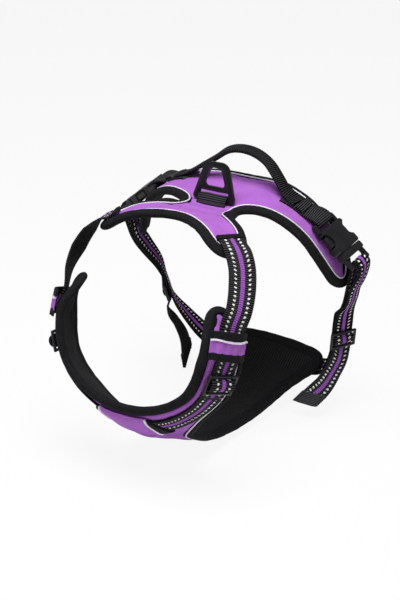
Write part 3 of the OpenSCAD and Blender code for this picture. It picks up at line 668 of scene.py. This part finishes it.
silver_piping = silver_tape("silver_piping")
steps = np.arange(len(chest_walk[0]))
tip_steps = GRID_STEPS * (BAND_ROWS + 3)
on_neck = (steps < GRID_STEPS * 2 * CHEST_COLUMNS + tip_steps) | (steps >= len(steps) - tip_steps)
sink = eased(np.where(on_neck, SUNK_PIPING, 0.0), CORNER_EASE)
sunk_walk = (chest_walk[0] - chest_walk[1] * sink[:, None], chest_walk[1])
from_notch = np.linalg.norm(np.abs(back_walk[0]) - NOTCH, axis=1)
lift = NOTCH_LIFT * np.maximum(0, 1 - (from_notch / NOTCH_REACH) ** 2)
raised_walk = (back_walk[0] + back_walk[1] * lift[:, None], back_walk[1])
for panel, walk in (("back", raised_walk), ("chest", sunk_walk)):
    cord = beaded_rim(panel + "_bright_edge", walk, PIPING_BEAD, PIPING_STEP)
    smooth(cord, 80)
    cord.data.materials.append(silver_piping)
    fasten(cord, "harness", "reflective_piping", panel + "_piping")

# Shoulder straps: black ribbed webbing with a violet stripe down the middle and a row of bright dots
# on each side of it. Each is sewn on a neck wing and runs down the arm of the chest panel.
STRAP_WIDTH = 0.025
WEB_THICK = 0.0018
RIB_PITCH = 0.0019
RIB_RISE = 0.0002
WEB_COLUMNS = 11
DOT_PITCH = 0.0039
DOT_WIDE = 0.0025
DOT_LONG = 0.0017
DOT_LEAN = 0.3
DOT_COLOUR = (0.84, 0.84, 0.79)
# Stripe colours: painted shade between the stripe's threads and painted highlight on them.
STRIPE_SHADE = (0.13, 0.032, 0.21)
STRIPE_LIGHT = (0.48, 0.145, 0.68)
# WEB_LIGHT: painted highlight on the rib crests of the black webbing.
WEB_LIGHT = (0.085, 0.085, 0.090)
YARN = 0.0009
PLAIN_YARN = 0.0008
ON_COVER = COVER_TOP + PUFF + WEB_THICK / 2 + 0.00025
ON_ARM = ON_COVER + 0.0009
SIDES = ((1, "left"), (-1, "right"))


def listed(values, f):
    """Value between those of a list, at the share f of it."""
    last = len(values) - 1
    g = min(max(f, 0.0), 1.0) * last
    i = min(int(g), last - 1)
    return mix(values[i], values[i + 1], g - i)


def strap_route(points, ups, spacing):
    """Centre line at even steps with its outward and sideways directions and its length so far."""
    share = np.linspace(0, 1, 40 * len(points))
    line = np.array([smooth_curve(points, f) for f in share])
    face = np.array([listed(ups, f) for f in share])
    length = lengths(line)
    at = np.linspace(0, length[-1], max(8, int(round(length[-1] / spacing))) + 1)
    p, q = spaced(at, length, line), spaced(at, length, face)
    run = unit(np.gradient(p, axis=0))
    up = unit(q - (q * run).sum(1)[:, None] * run)
    return p, up, np.cross(up, run), at, np.interp(at, length, share)


def softened(piece, width, segments, degrees):
    """Small rounds on the edges that are sharper than an angle."""
    soften = piece.modifiers.new("soften", "BEVEL")
    soften.width = width
    soften.segments = segments
    soften.limit_method = "ANGLE"
    soften.angle_limit = math.radians(degrees)
    return piece


def webbing_strip(name, points, ups, width, front, back, thick=WEB_THICK, shift=0.0, lift=0.0,
                  ribs=RIB_RISE, pitch=RIB_PITCH, lean=(0.0, 0.0), droop=0.0, sway=0.0):
    """Flat webbing along a route: a grid with its ribs in relief, thickened and with softened edges.

    It can stand beside and above its route (shift, lift), have slanting ends (lean), let its long
    edges hang (droop) and weave from side to side (sway)."""
    p, up, side, at, share = strap_route(points, ups, pitch / 4)
    rib = ribs * np.cos(2 * math.pi * at / pitch)
    places = np.empty((len(p), WEB_COLUMNS, 3))
    metres = np.empty((len(p), WEB_COLUMNS, 2))
    for c, x in enumerate(np.linspace(-0.5, 0.5, WEB_COLUMNS)):
        reach = x * (width + 2 * rib) + shift + sway * np.sin(3 * math.pi * share)
        rise = lift + rib * (1 - abs(2 * x) ** 6) - droop * abs(2 * x) ** 5
        ahead = x * width * mix(lean[0], lean[1], share)
        places[:, c] = p + side * reach[:, None] + up * rise[:, None]
        places[:, c] += np.cross(up, side) * ahead[:, None]
        metres[:, c, 0] = at
        metres[:, c, 1] = x * width
    strip = cloth_grid(name, places, metres)
    if np.dot(np.array(strip.data.polygons[WEB_COLUMNS // 2].normal), up[0]) < 0:
        in_edit_mode(strip, lambda: bpy.ops.mesh.flip_normals())
    finish_modifiers(softened(walled(strip, thick, front, back), thick * 0.3, 2, 60))
    return smooth(strip, 50)


def ribbed_yarn(f, along, across, yarn):
    """Height of the cross ribs of webbing, broken up by its yarns. It also sets the painted highlight on
    the rib crests and the painted shade between them.
    """
    rib = f.scaled(f.maths("COSINE", f.maths("MULTIPLY", along, 2 * math.pi / RIB_PITCH)), 0.5, 0.5)
    return f.maths("MULTIPLY", f.maths("POWER", rib, 5), f.scaled(f.ripple(across, yarn), 0.6, 0.4), True)


def striped_webbing(name, half_stripe, dot_row):
    """Black ribbed webbing with a violet middle stripe and a row of bright dots on each side of it. The rib
    crests and the stripe's threads carry painted highlight, and the hollows between them carry painted
    shade.
    """
    f = Finish(name, 0.7, shine=0.05)
    along, sideways = f.cloth_axes()
    across = f.maths("ABSOLUTE", sideways)
    body = ribbed_yarn(f, along, across, YARN)
    fine = f.maths("MULTIPLY", f.ripple(along, RIB_PITCH / 2), f.scaled(f.ripple(across, YARN), 0.4, 0.6))
    in_stripe = f.maths("LESS_THAN", across, half_stripe)
    # Painted highlight and shade: the black ribs and the stripe's threads are lighter on top and darker
    # between.
    ground = f.between(in_stripe, f.between(body, BLACK_SHADE, WEB_LIGHT),
                       f.between(fine, STRIPE_SHADE, STRIPE_LIGHT))
    leaning = f.maths("ADD", along, f.maths("MULTIPLY", across, DOT_LEAN))
    turn = f.maths("SUBTRACT", f.maths("FRACT", f.maths("DIVIDE", leaning, DOT_PITCH)), 0.5)
    long = f.maths("DIVIDE", f.maths("ABSOLUTE", turn), DOT_LONG / 2 / DOT_PITCH)
    wide = f.maths("DIVIDE", f.maths("ABSOLUTE", f.maths("SUBTRACT", across, dot_row)), DOT_WIDE / 2)
    rounded = f.maths("ADD", f.maths("POWER", wide, 3), f.maths("POWER", long, 3))
    dots = f.maths("LESS_THAN", rounded, 1)
    return f.finished(f.between(dots, ground, DOT_COLOUR), f.maths("ADD", body, dots), 0.6, 0.0003)


def plain_webbing(name):
    """The plain black side of the webbing: cross ribs and fine yarn, with no stripe. Its rib crests carry
    painted highlight and its hollows carry painted shade.
    """
    f = Finish(name, 0.7, shine=0.05)
    body = ribbed_yarn(f, *f.cloth_axes(), PLAIN_YARN)
    # Painted highlight on the rib crests, painted shade between them.
    return f.finished(f.between(body, BLACK_SHADE, WEB_LIGHT), body, 0.6, 0.0003)


broad_webbing = striped_webbing("broad_webbing", 0.0020, 0.0067)
black_webbing = plain_webbing("black_webbing")
WING_START = (11.5, 12.05, 12.7)
HEM_START = (11.2, 11.5, 11.8)
ARM_RUN = ((12.1, 2.95), (10.9, 2.6), (9.4, 2.2), (8, 2), (7, 2))
SHOULDER_FREE = spots((72, -55, 84.5), (80, -61, 74), (86.2, -70, 59), (89.5, -80.5, 42))
SHOULDER_FACE = {
    "left": ((0.65, -0.35, 0.68), (0.75, -0.5, 0.45), (0.75, -0.55, 0.35), (0.8, -0.5, 0.25)),
    "right": ((-0.7, -0.15, 0.68), (-0.88, 0.05, 0.45), (-0.95, 0.05, 0.28), (-0.9, -0.25, 0.2))}
for s, name in SIDES:
    on_arm, arm_face = laid(arm_band, [(r, -s * g) for g, r in ARM_RUN], ON_ARM)
    points = [above(neck_band, 2, s * g, ON_COVER + (g - 9.6) * 0.0004) for g in WING_START]
    points += [mirrored(s, p) for p in SHOULDER_FREE] + on_arm
    ups = [facing(neck_band, 2, s * g) for g in WING_START]
    ups += [np.array(v) for v in SHOULDER_FACE[name]] + arm_face
    strap = webbing_strip(
        name + "_shoulder_webbing", points, ups, STRAP_WIDTH, broad_webbing, black_webbing)
    fasten(strap, "harness", "webbing", name + "_shoulder_strap")
    hem = webbing_strip(
        name + "_shoulder_hem", *laid(neck_band, [(2, s * g) for g in HEM_START], ON_COVER + 0.0009),
        STRAP_WIDTH + 0.002, black_binding, black_binding, thick=0.0036, ribs=0.0)
    fasten(hem, "harness", "binding_cloth")

# Chest webbing and centre patch: the shoulder webbing goes on from each slider to the middle of the
# chest. A violet patch with bound and piped ends covers where the two meet.
CHEST_RUN = ((6.9, 2), (5.9, 1.85), (4.8, 1.6), (3.6, 1.35), (2.6, 1.2), (1.4, 1.1))
for s, name in SIDES:
    strap = webbing_strip(
        name + "_chest_strap", *laid(arm_band, [(r, -s * g) for g, r in CHEST_RUN], ON_ARM),
        STRAP_WIDTH, broad_webbing, black_webbing)
    fasten(strap, "harness", "webbing", name + "_chest_webbing")
PATCH_HEIGHT = ON_ARM + WEB_THICK / 2 + 0.0012
PATCH_ROW = 1.35
PATCH_WIDTH = 0.037
PATCH_DROOP = 0.0034
PATCH_LEAN = 0.28


def patch_strip(name, columns, height, width, thick, cloth, lean, slot, node):
    strip = webbing_strip(
        name, *laid(arm_band, [(PATCH_ROW, j) for j in columns], height), width, cloth, cloth,
        thick=thick, ribs=0.0, lean=lean, droop=PATCH_DROOP)
    return fasten(strip, "harness", slot, node)


patch_strip(
    "chest_patch_cloth", (-2.5, -1.2, 0, 1.2, 2.5), PATCH_HEIGHT, PATCH_WIDTH, 0.001, violet_cover,
    (PATCH_LEAN, -PATCH_LEAN), "cover_cloth", "chest_patch")
for end, name in ((-1, "left"), (1, "right")):
    lean = (-end * PATCH_LEAN, -end * PATCH_LEAN)
    patch_strip(
        name + "_patch_hem", [end * g for g in (2.46, 2.75, 3.1)], PATCH_HEIGHT, PATCH_WIDTH - 0.004,
        0.0024, black_binding, lean, "binding_cloth", "patch_binding")
    patch_strip(
        name + "_patch_bright_edge", [end * g for g in (2.3, 2.38, 2.46)], PATCH_HEIGHT + 0.0008,
        PATCH_WIDTH, 0.0014, silver_piping, lean, "reflective_piping", "patch_piping")

# Keepers: a cloth band across each arm that holds the shoulder webbing down, violet between black
# hems, with a bright piping under the upper hem. It is sewn to the arm at both ends.
KEEPER_COLUMN = 10.9
KEEPER_WIDTH = 0.012
UPPER_HEM = 0.007
LOWER_HEM = 0.006
GATHER_PITCH = 0.0088
KEEPER_ROWS = (-0.85, -0.4, 0.25, 1.1, 2.9, 3.75, 4.4, 4.85)
KEEPER_RISE = (1.5, 3.3, 6, 7, 7, 6, 3.3, 1.5)
for s, name in SIDES:
    column = -s * KEEPER_COLUMN
    points = [above(arm_band, r, column, COVER_TOP + PUFF + (0.1 + h) * 0.001)
              for r, h in zip(KEEPER_ROWS, KEEPER_RISE)]
    ups = [facing(arm_band, 2, column)] * len(points)
    for part, width, shift, thick, lift, gather, sway, cloth, slot, node in (
            ("cloth", KEEPER_WIDTH, 0, 0.001, 0, 0.0007, 0.0, violet_cover, "cover_cloth", "keeper"),
            ("upper_hem", UPPER_HEM, s * (KEEPER_WIDTH + UPPER_HEM) / 2, 0.002, 0, 0.0001, 0.0,
             black_binding, "binding_cloth", "keeper_edges"),
            ("lower_hem", LOWER_HEM, -s * (KEEPER_WIDTH + LOWER_HEM) / 2, 0.002, 0, 0.0001, 0.0,
             black_binding, "binding_cloth", "keeper_edges"),
            ("bright_edge", 0.0016, s * (KEEPER_WIDTH / 2 - 0.0009), 0.0013, 0.0012, 0, 0.0006,
             silver_piping, "reflective_piping", "keeper_piping")):
        band = webbing_strip(
            name + "_keeper_" + part, points, ups, width, cloth, cloth, thick=thick, shift=shift, lift=lift,
            ribs=gather, pitch=GATHER_PITCH, sway=sway)
        fasten(band, "harness", slot, name + "_" + node)

# Shoulder sliders: moulded three-bar frames with the webbing humped over the middle bar. Sliding one
# along the strap sets how far down the chest panel hangs.
SLIDER_COLUMN = 7.9
BAR = 0.0028
WRAP = [np.array(v) * 0.001 for v in (
    (-5.4, -0.7), (-5.1, 0.8), (-3.4, 3.2), (0, 4.3), (3.4, 3.2), (5.1, 0.8), (5.4, -0.7))]
WRAP_FACE = ((-0.9, 0.4), (-0.8, 0.6), (-0.4, 0.9), (0, 1), (0.4, 0.9), (0.8, 0.6), (0.9, 0.4))
PLASTIC_SHADE = (0.004, 0.004, 0.005)
PLASTIC_LIGHT = (0.018, 0.018, 0.020)
SLIDER_EDGE = 0.0005
LAYER_GAP = 0.00035


def moulded_plastic(name):
    """Black moulded nylon: a fine spark-eroded grain and slightly worn, paler patches."""
    f = Finish(name, 0.4, shine=0.36)
    worn = f.between(f.speckle(90, 4, 0.65), PLASTIC_SHADE, PLASTIC_LIGHT)
    return f.finished(worn, f.speckle(1400, 3), 0.25, 0.0002)


black_plastic = moulded_plastic("black_plastic")


def moulded_piece(node, body, slot, material, edge):
    """A moulded or cast piece in the form of its CAD node, with its edges rounded off."""
    piece = bpy.data.objects.new(node + "_body", nodes[node].data.copy())
    bpy.context.scene.collection.objects.link(piece)
    piece.matrix_world = nodes[node].matrix_world
    make_active(piece)
    bpy.ops.object.transform_apply(location=True, rotation=True, scale=True)
    in_edit_mode(
        piece,
        lambda: bpy.ops.mesh.remove_doubles(threshold=0.00001),
        lambda: bpy.ops.mesh.dissolve_limited(angle_limit=math.radians(1)))
    finish_modifiers(softened(piece, edge, 3, 40))
    piece.data.materials.clear()
    piece.data.materials.append(material)
    return fasten(smooth(piece, 35), body, slot, node)


def strap_frame(origin, ahead, out):
    """Origin and the sideways, forward and outward directions of a fitting on a strap."""
    y = unit(ahead)
    z = unit(out - np.dot(out, y) * y)
    return origin, np.cross(y, z), y, z


def on_frame(f, height, shape):
    return [f[0] + f[2] * p[0] + f[3] * (height + p[1]) for p in shape]


def turned(f, shape):
    return [f[2] * p[0] + f[3] * p[1] for p in shape]


for s, name in SIDES:
    c = -s * SLIDER_COLUMN
    ahead = arm_band(2, c - s) - arm_band(2, c + s)
    f = strap_frame(above(arm_band, 2, c, ON_ARM), ahead, facing(arm_band, 2, c))
    height = WEB_THICK / 2 + LAYER_GAP + BAR / 2
    hump = webbing_strip(
        name + "_shoulder_hump", on_frame(f, height, WRAP), turned(f, WRAP_FACE), STRAP_WIDTH,
        broad_webbing, black_webbing)
    slider = name + "_shoulder_slider"
    fasten(hump, slider, "webbing", name + "_shoulder_wrap")
    moulded_piece(slider, slider, "black_plastic", black_plastic, SLIDER_EDGE)

# Girth straps: narrower webbing of the same pattern, from the corner of the belly panel up over the
# tip of the wing, round the bar of the buckle plug and back down to the slider.
GIRTH_WIDTH = 0.020
GIRTH_LOW = {"left": spot(97, 102, -64), "right": spot(-97, 102, -55)}
GIRTH_HIGH = {"left": spot(106, 90, -8), "right": spot(-106, 90, -8)}
BELLY_CORNER = {"left": spot(88, 108, -81), "right": spot(-85, 109, -75)}
CORNER_FACE = {"left": (0.68, -0.1, -0.65), "right": (-0.68, -0.1, -0.65)}
TIP_RUN = spot(120.5, 74, 21)
FALL_RUN = spot(114, 81, 5)
LOOP_RISE = COVER_TOP + PUFF + WEB_THICK + 0.0032
LOOP_BACK = 0.007
BUCKLE_ROW = 2.5
LOOP_COLUMN = 9.9
BUCKLE_SWING = math.radians(10)
SOCKET_LONG = 0.027
PLUG_BAR = SOCKET_LONG + 0.016
BAR_TURN = 0.002 + WEB_THICK / 2 + 0.0004
LOOSE_ROLL = 0.0028
BELLY_RUN = ((10, 2, 0), (10.2, 2.7, 0.0005), (10.4, 3.4, 0.0014))
narrow_webbing = striped_webbing("narrow_webbing", 0.0018, 0.0056)


def buckle_frame(s):
    """The buckle's place: its loop bar lies on the cover of the wing and its plug swings out."""
    bar = above(girth_band, BUCKLE_ROW, s * LOOP_COLUMN, LOOP_RISE)
    run = unit(girth_band(BUCKLE_ROW, s * 11.6) - girth_band(BUCKLE_ROW, s * 9.4))
    out = facing(girth_band, BUCKLE_ROW, s * 10.4)
    ahead = unit(run * math.cos(BUCKLE_SWING) + out * math.sin(BUCKLE_SWING))
    return strap_frame(bar + ahead * LOOP_BACK, ahead, out)


def bar_face(ahead, out, first, last, sign):
    """Directions round a bar, in steps of 30 degrees."""
    turns = [math.radians(a) for a in range(first, last + 1, 30)]
    return [sign * (ahead * math.sin(a) + out * math.cos(a)) for a in turns]


def bar_arc(centre, ahead, out, radius, first, last):
    return [centre + v for v in bar_face(ahead, out, first, last, radius)]


def girth_directions(s, name):
    run = unit(GIRTH_HIGH[name] - GIRTH_LOW[name])
    out = np.array((s * 0.8, -0.58, 0))
    return run, unit(out - np.dot(out, run) * run)


for s, name in SIDES:
    f = buckle_frame(s)
    k = f[0] + f[2] * PLUG_BAR
    run, out = girth_directions(s, name)
    low, high = GIRTH_LOW[name], GIRTH_HIGH[name]
    over, fall = hang(mirrored(s, TIP_RUN)), hang(mirrored(s, FALL_RUN))
    down = unit(over - k - np.dot(over - k, f[1]) * f[1])
    n = unit(np.cross(f[1], down))
    beside = np.array((s * 0.95, -0.25, 0.1))
    points = [above(belly_band, r, -s * g, ON_COVER + h) for r, g, h in BELLY_RUN]
    points += [BELLY_CORNER[name]] + [mix(low, high, v) for v in (0, 0.25, 0.5, 0.75)]
    points += [fall, over - n * 0.0004, k + down * 0.007 - n * (BAR_TURN - 0.0005)]
    points += bar_arc(k, down, n, BAR_TURN, 180, 330) + [k + n * (BAR_TURN + LOOSE_ROLL / 2)]
    points += [k + down * v + n * (BAR_TURN + LOOSE_ROLL) for v in (0.005, 0.011)] + [over + n * 0.0032]
    points += [fall + np.array((s * 0.0038, -0.0008, 0))]
    points += [mix(low, high, v) + out * (WEB_THICK + LAYER_GAP) * (1 + 2 * max(0, v - 0.5))
               for v in (0.75, 0.5, 0.28)]
    ups = [facing(belly_band, 10, -s * 2), facing(belly_band, 10, -s * 2.7)]
    ups += [np.array((s * 0.35, 0.4, -0.8)), np.array(CORNER_FACE[name])]
    ups += [out, out, out, mix(out, beside, 0.3), beside, mix(beside, n, 0.6), n]
    ups += bar_face(down, n, 180, 360, -1)
    ups += [-n, -n, -mix(beside, n, 0.6), -beside, -mix(out, beside, 0.3), -out, -out]
    strap = webbing_strip(name + "_girth_webbing", points, ups, GIRTH_WIDTH, narrow_webbing, narrow_webbing)
    tuple(mix(low, high, 0.5))
    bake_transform(strap)
    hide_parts(name + "_girth_strap")

# Girth sliders and tails: the strap comes back through a three-bar slider and its loose end hangs
# down to a folded, stitched tip.
SLIDER_SHARE = 0.2
GIRTH_BAR_RISE = WEB_THICK * 1.5 + 2 * LAYER_GAP + BAR / 2
TAIL_HEAD = [np.array(v) * 0.001 for v in (
    (5.4, -0.6), (4.4, 0.3), (3, 1.6), (0, 2.4), (-3, 1.5), (-4.8, -0.6), (-7, -2), (-10, -2.1))]
TAIL_TURN = ((0.9, 0.4), (0.8, 0.6), (0.4, 0.9), (0, 1), (-0.4, 0.9), (-0.8, 0.6), (-0.3, 0.95), (0, 1))
TAIL_FALL = {
    "left": spots((99, 97, -76), (95, 92, -89), (90, 84, -102), (82, 73, -113)),
    "right": spots((-99.5, 96, -69), (-92, 100, -83), (-85, 104, -100), (-82, 105, -119))}
TAIL_FACE = {
    "left": ((0.85, -0.5, 0.1), (0.85, -0.5, 0.2), (0.75, -0.5, 0.4), (0.3, -0.6, 0.74)),
    "right": ((-0.82, -0.56, 0), (-0.85, -0.4, -0.35), (-0.93, -0.2, -0.25), (-0.97, -0.1, -0.1))}
TIP_SPAN = {"left": (-0.006, 0.001, 0.008), "right": (-0.007, -0.001, 0.005)}
TIP_SLANT = {"left": (0.57, 0.57), "right": (-0.5, -0.8)}
for s, name in SIDES:
    run, out = girth_directions(s, name)
    f = strap_frame(mix(GIRTH_LOW[name], GIRTH_HIGH[name], SLIDER_SHARE), run, out)
    faces = [np.array(v) for v in TAIL_FACE[name]]
    slider = name + "_girth_slider"
    tail = webbing_strip(
        name + "_loose_tail", on_frame(f, GIRTH_BAR_RISE, TAIL_HEAD) + TAIL_FALL[name],
        turned(f, TAIL_TURN) + faces, GIRTH_WIDTH, narrow_webbing, black_webbing)
    fasten(tail, slider, "webbing", name + "_girth_tail")
    end, before = TAIL_FALL[name][3], TAIL_FALL[name][2]
    d = unit(end - before)
    tip = webbing_strip(
        name + "_folded_tip", [end + d * v for v in TIP_SPAN[name]], [faces[3]] * 3,
        GIRTH_WIDTH + 0.001, black_webbing, black_webbing, thick=WEB_THICK * 1.9, lean=TIP_SLANT[name])
    fasten(tip, slider, "webbing", name + "_strap_tip")
    moulded_piece(slider, slider, "black_plastic", black_plastic, SLIDER_EDGE)

# Wing webbing: black webbing sewn along each girth wing, with its end folded round the bar of the
# buckle socket.
WING_ROW = 2.4
WING_COLUMNS = (7, 7.4, 7.8, 8.2, 8.7)
LOOP_TURN = 0.002 + WEB_THICK / 2 + 0.0001
LAP_COLUMNS = (8.24, 8.5, 8.76)
LAP_RISE = ON_COVER + WEB_THICK + 0.0007
for s, name in SIDES:
    f = buckle_frame(s)
    k = f[0] - f[2] * LOOP_BACK
    points = [above(girth_band, WING_ROW, s * g, ON_COVER + (0.0004 if g > 7.5 else 0.0001))
              for g in WING_COLUMNS]
    points += [k - f[2] * 0.004 + f[3] * (LOOP_TURN - 0.0004)] + bar_arc(k, f[2], f[3], LOOP_TURN, 0, 180)
    points += [k - f[2] * 0.002 - f[3] * LOOP_TURN]
    ups = [facing(girth_band, WING_ROW, s * g) for g in WING_COLUMNS] + [f[3]]
    ups += bar_face(f[2], f[3], 0, 180, 1) + [-f[3]]
    strap = webbing_strip(name + "_wing_strap", points, ups, STRAP_WIDTH, black_webbing, black_webbing)
    fasten(strap, "harness", "webbing", name + "_wing_webbing")
    lap = webbing_strip(
        name + "_wing_lap", *laid(girth_band, [(WING_ROW, s * g) for g in LAP_COLUMNS], LAP_RISE),
        STRAP_WIDTH - 0.001, black_webbing, black_webbing)
    fasten(lap, "harness", "webbing")

# Buckles: side-release buckles of black nylon, a socket on the wing and a plug on the girth strap
# with two springing prongs that catch in its side windows.
BUCKLE_EDGE = 0.0006
for s, name in SIDES:
    for part, body in (("buckle_socket", "harness"), ("buckle_plug", name + "_plug"),
                       ("prong_front", name + "_prong_front"), ("prong_rear", name + "_prong_rear")):
        moulded_piece(name + "_" + part, body, "black_plastic", black_plastic, BUCKLE_EDGE)

# Carry handle: webbing rolled round a core into a firm grip, its flat ends sewn on the wing webbing
# on both sides of the spine.
HANDLE_FEET = ((2.3, 8.15), (2.4, 7.6))
ON_WEBBING = ON_COVER + WEB_THICK + 0.00095
LEFT_HALF = spots((52, 66, 99), (43, 68, 109), (29, 73, 120), (14, 75, 126))
RIGHT_HALF = spots((-50, 66.5, 99.7), (-40, 68.3, 106), (-26.5, 72.5, 115), (-14, 75, 124))
HANDLE_OUT = ((0.72, -0.05, 0.7), (0.68, -0.1, 0.73), (0.5, -0.1, 0.86), (0.22, -0.15, 0.96))
HANDLE_WIDE = (0.023, 0.022, 0.016, 0.014, 0.013, 0.013)
HANDLE_THICK = (0.0018, 0.0018, 0.003, 0.0044, 0.005, 0.0052)
HANDLE_RIB = 0.0003
HANDLE_SIDES = 20
SQUARENESS = 0.6


def rolled_strip(name, points, ups, widths, thicks):
    """A ribbed roll along a route, between flat and round, with closed ends."""
    p, up, side, at, share = strap_route(points, ups, RIB_PITCH / 4)
    ring = [2 * math.pi * k / HANDLE_SIDES for k in range(HANDLE_SIDES + 1)]
    places = np.empty((len(p), len(ring), 3))
    metres = np.empty((len(p), len(ring), 2))
    for n in range(len(p)):
        wide, thick = listed(widths, share[n]) / 2, listed(thicks, share[n]) / 2
        bulge = 1 + min(HANDLE_RIB / thick, 0.2) * math.cos(2 * math.pi * at[n] / RIB_PITCH)
        for k, a in enumerate(ring):
            x = math.copysign(abs(math.cos(a)) ** SQUARENESS, math.cos(a)) * wide
            y = math.copysign(abs(math.sin(a)) ** SQUARENESS, math.sin(a)) * thick * bulge
            places[n, k] = p[n] + side[n] * x + up[n] * y
            metres[n, k] = at[n], k / HANDLE_SIDES * 2 * (wide + thick)
    roll = cloth_grid(name, places, metres)

    def close_ends():
        bpy.ops.mesh.remove_doubles(threshold=0.00002)
        bpy.ops.mesh.select_all(action="DESELECT")
        bpy.ops.mesh.select_non_manifold()
        bpy.ops.mesh.fill_holes(sides=0)
        bpy.ops.mesh.select_all(action="SELECT")
        bpy.ops.mesh.normals_make_consistent(inside=False)

    in_edit_mode(roll, close_ends)
    return smooth(roll, 60)


right_foot, right_foot_face = laid(girth_band, [(r, -g) for r, g in HANDLE_FEET], ON_WEBBING)
left_foot, left_foot_face = laid(girth_band, HANDLE_FEET, ON_WEBBING)
outs = [np.array(v) for v in HANDLE_OUT]
handle = rolled_strip(
    "carry_handle",
    right_foot + RIGHT_HALF + LEFT_HALF[::-1] + left_foot[::-1],
    right_foot_face + [mirrored(-1, v) for v in outs] + outs[::-1] + left_foot_face[::-1],
    HANDLE_WIDE + HANDLE_WIDE[::-1], HANDLE_THICK + HANDLE_THICK[::-1])
handle.data.materials.append(black_webbing)
fasten(handle, "harness", "webbing", "handle")

# Leash ring: a cast steel ring with a cross bar, coated satin black, that swings in a webbing tab
# sewn on the spine.
RING_ROW = 0.55
RING_BAR = 0.0042
RING_RISE = COVER_TOP + PUFF + 0.0025 + RING_BAR / 2
RING_EDGE = 0.0011


def satin_coat(name):
    """Black powder coat on steel: an even satin with a faint orange peel."""
    f = Finish(name, 0.34, shine=0.3)
    f.put("Coat Weight", 0.12)
    f.put("Coat Roughness", 0.25)
    return f.finished((0.005, 0.005, 0.006), f.speckle(700, 2), 0.15, 0.0002)


black_metal = satin_coat("black_metal")
moulded_piece("leash_ring", "leash_ring", "black_metal", black_metal, RING_EDGE)
ON_SADDLE = ON_COVER + 0.0007
TAB_TOP = RING_RISE + RING_BAR / 2 + LAYER_GAP + WEB_THICK / 2
TAB_RISE = ((-0.38, 0.0004), (-0.33, 0.0007), (-0.24, 0.003), (0, TAB_TOP - ON_SADDLE), (0.26, 0.003),
            (0.44, 0.0001), (0.68, 0))
TAB_WIDTH = 0.0296
TAB_FACE = [np.array(v, float) for v in (
    (0, 0, 1), (0, -0.2, 1), (0, -0.8, 0.6), (0, 0, 1), (0, 0.8, 0.6), (0, 0.2, 1), (0, 0, 1))]
tab = webbing_strip(
    "ring_tab_webbing", [above(girth_band, RING_ROW + r, 0, ON_SADDLE + h) for r, h in TAB_RISE],
    TAB_FACE, TAB_WIDTH, black_webbing, black_webbing)
fasten(tab, "harness", "webbing", "ring_tab")

# Stage: a white floor just below the lowest strap end, soft studio light from above and from the
# sides, and the camera where the photograph was taken from.
FLOOR_GAP = 0.0005
FLOOR_GLOW = 0.9
AIR_LIGHT = 0.16
bpy.ops.mesh.primitive_plane_add(size=12, location=(0, 0, cad_low[2] - FLOOR_GAP))
floor = bpy.context.active_object
floor.name = "studio_floor"
floor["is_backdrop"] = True
white = Finish("studio_white", 0.9)
white.put("Base Color", (0.86, 0.86, 0.86, 1))
seen = white.node("ShaderNodeLightPath").outputs
glow = white.node("ShaderNodeEmission", Strength=1.0)
either = white.maths("MAXIMUM", seen["Is Camera Ray"], seen["Is Glossy Ray"])
either = white.maths("MAXIMUM", either, seen["Is Transmission Ray"])
choose = white.node("ShaderNodeMixShader")
white.join(white.maths("MULTIPLY", either, FLOOR_GLOW), choose.inputs[0])
white.join(white.principled.outputs[0], choose.inputs[1])
white.join(glow.outputs[0], choose.inputs[2])
white.join(choose.outputs[0], white.tree.nodes["Material Output"].inputs["Surface"])
floor.data.materials.append(white.material)

world = bpy.data.worlds.new("studio_air")
bpy.context.scene.world = world
world.use_nodes = True
tree = world.node_tree
seen = tree.nodes.new("ShaderNodeLightPath")
strength = tree.nodes.new("ShaderNodeMapRange")
strength.inputs["To Min"].default_value = AIR_LIGHT
strength.inputs["To Max"].default_value = 1.0
tree.links.new(seen.outputs["Is Camera Ray"], strength.inputs["Value"])
tree.links.new(strength.outputs[0], tree.nodes["Background"].inputs["Strength"])
tree.nodes["Background"].inputs["Color"].default_value = (1, 1, 1, 1)


def softbox(name, place, size, power):
    lamp = bpy.data.lights.new(name, "AREA")
    lamp.shape = "DISK"
    lamp.size = size
    lamp.energy = power
    holder = bpy.data.objects.new(name, lamp)
    bpy.context.scene.collection.objects.link(holder)
    holder.location = place
    holder.rotation_euler = (-Vector(place)).to_track_quat("-Z", "Y").to_euler()


softbox("top_softbox", (0.1, -0.3, 1.3), 0.9, 21)
softbox("left_softbox", (1.2, -0.7, 0.6), 0.8, 2)
softbox("right_softbox", (-1.1, -0.7, 0.5), 0.8, 1.6)

AZIMUTH, ELEVATION, DISTANCE = math.radians(32), math.radians(24), 1.324
eye = bpy.data.cameras.new("photo_view")
camera = bpy.data.objects.new("photo_view", eye)
bpy.context.scene.collection.objects.link(camera)
eye.lens = 85
eye.sensor_width = eye.sensor_height = 36
eye.sensor_fit = "VERTICAL"
level = math.cos(ELEVATION)
back = Vector((math.sin(AZIMUTH) * level, -math.cos(AZIMUTH) * level, math.sin(ELEVATION)))
camera.location = back * DISTANCE
camera.rotation_euler = (-back).to_track_quat("-Z", "Y").to_euler()
bpy.context.scene.camera = camera
bpy.context.scene.view_settings.view_transform = "Standard"

low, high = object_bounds()
{"cad": [list(cad_low), list(cad_high)], "visual": [list(low), list(high)]}
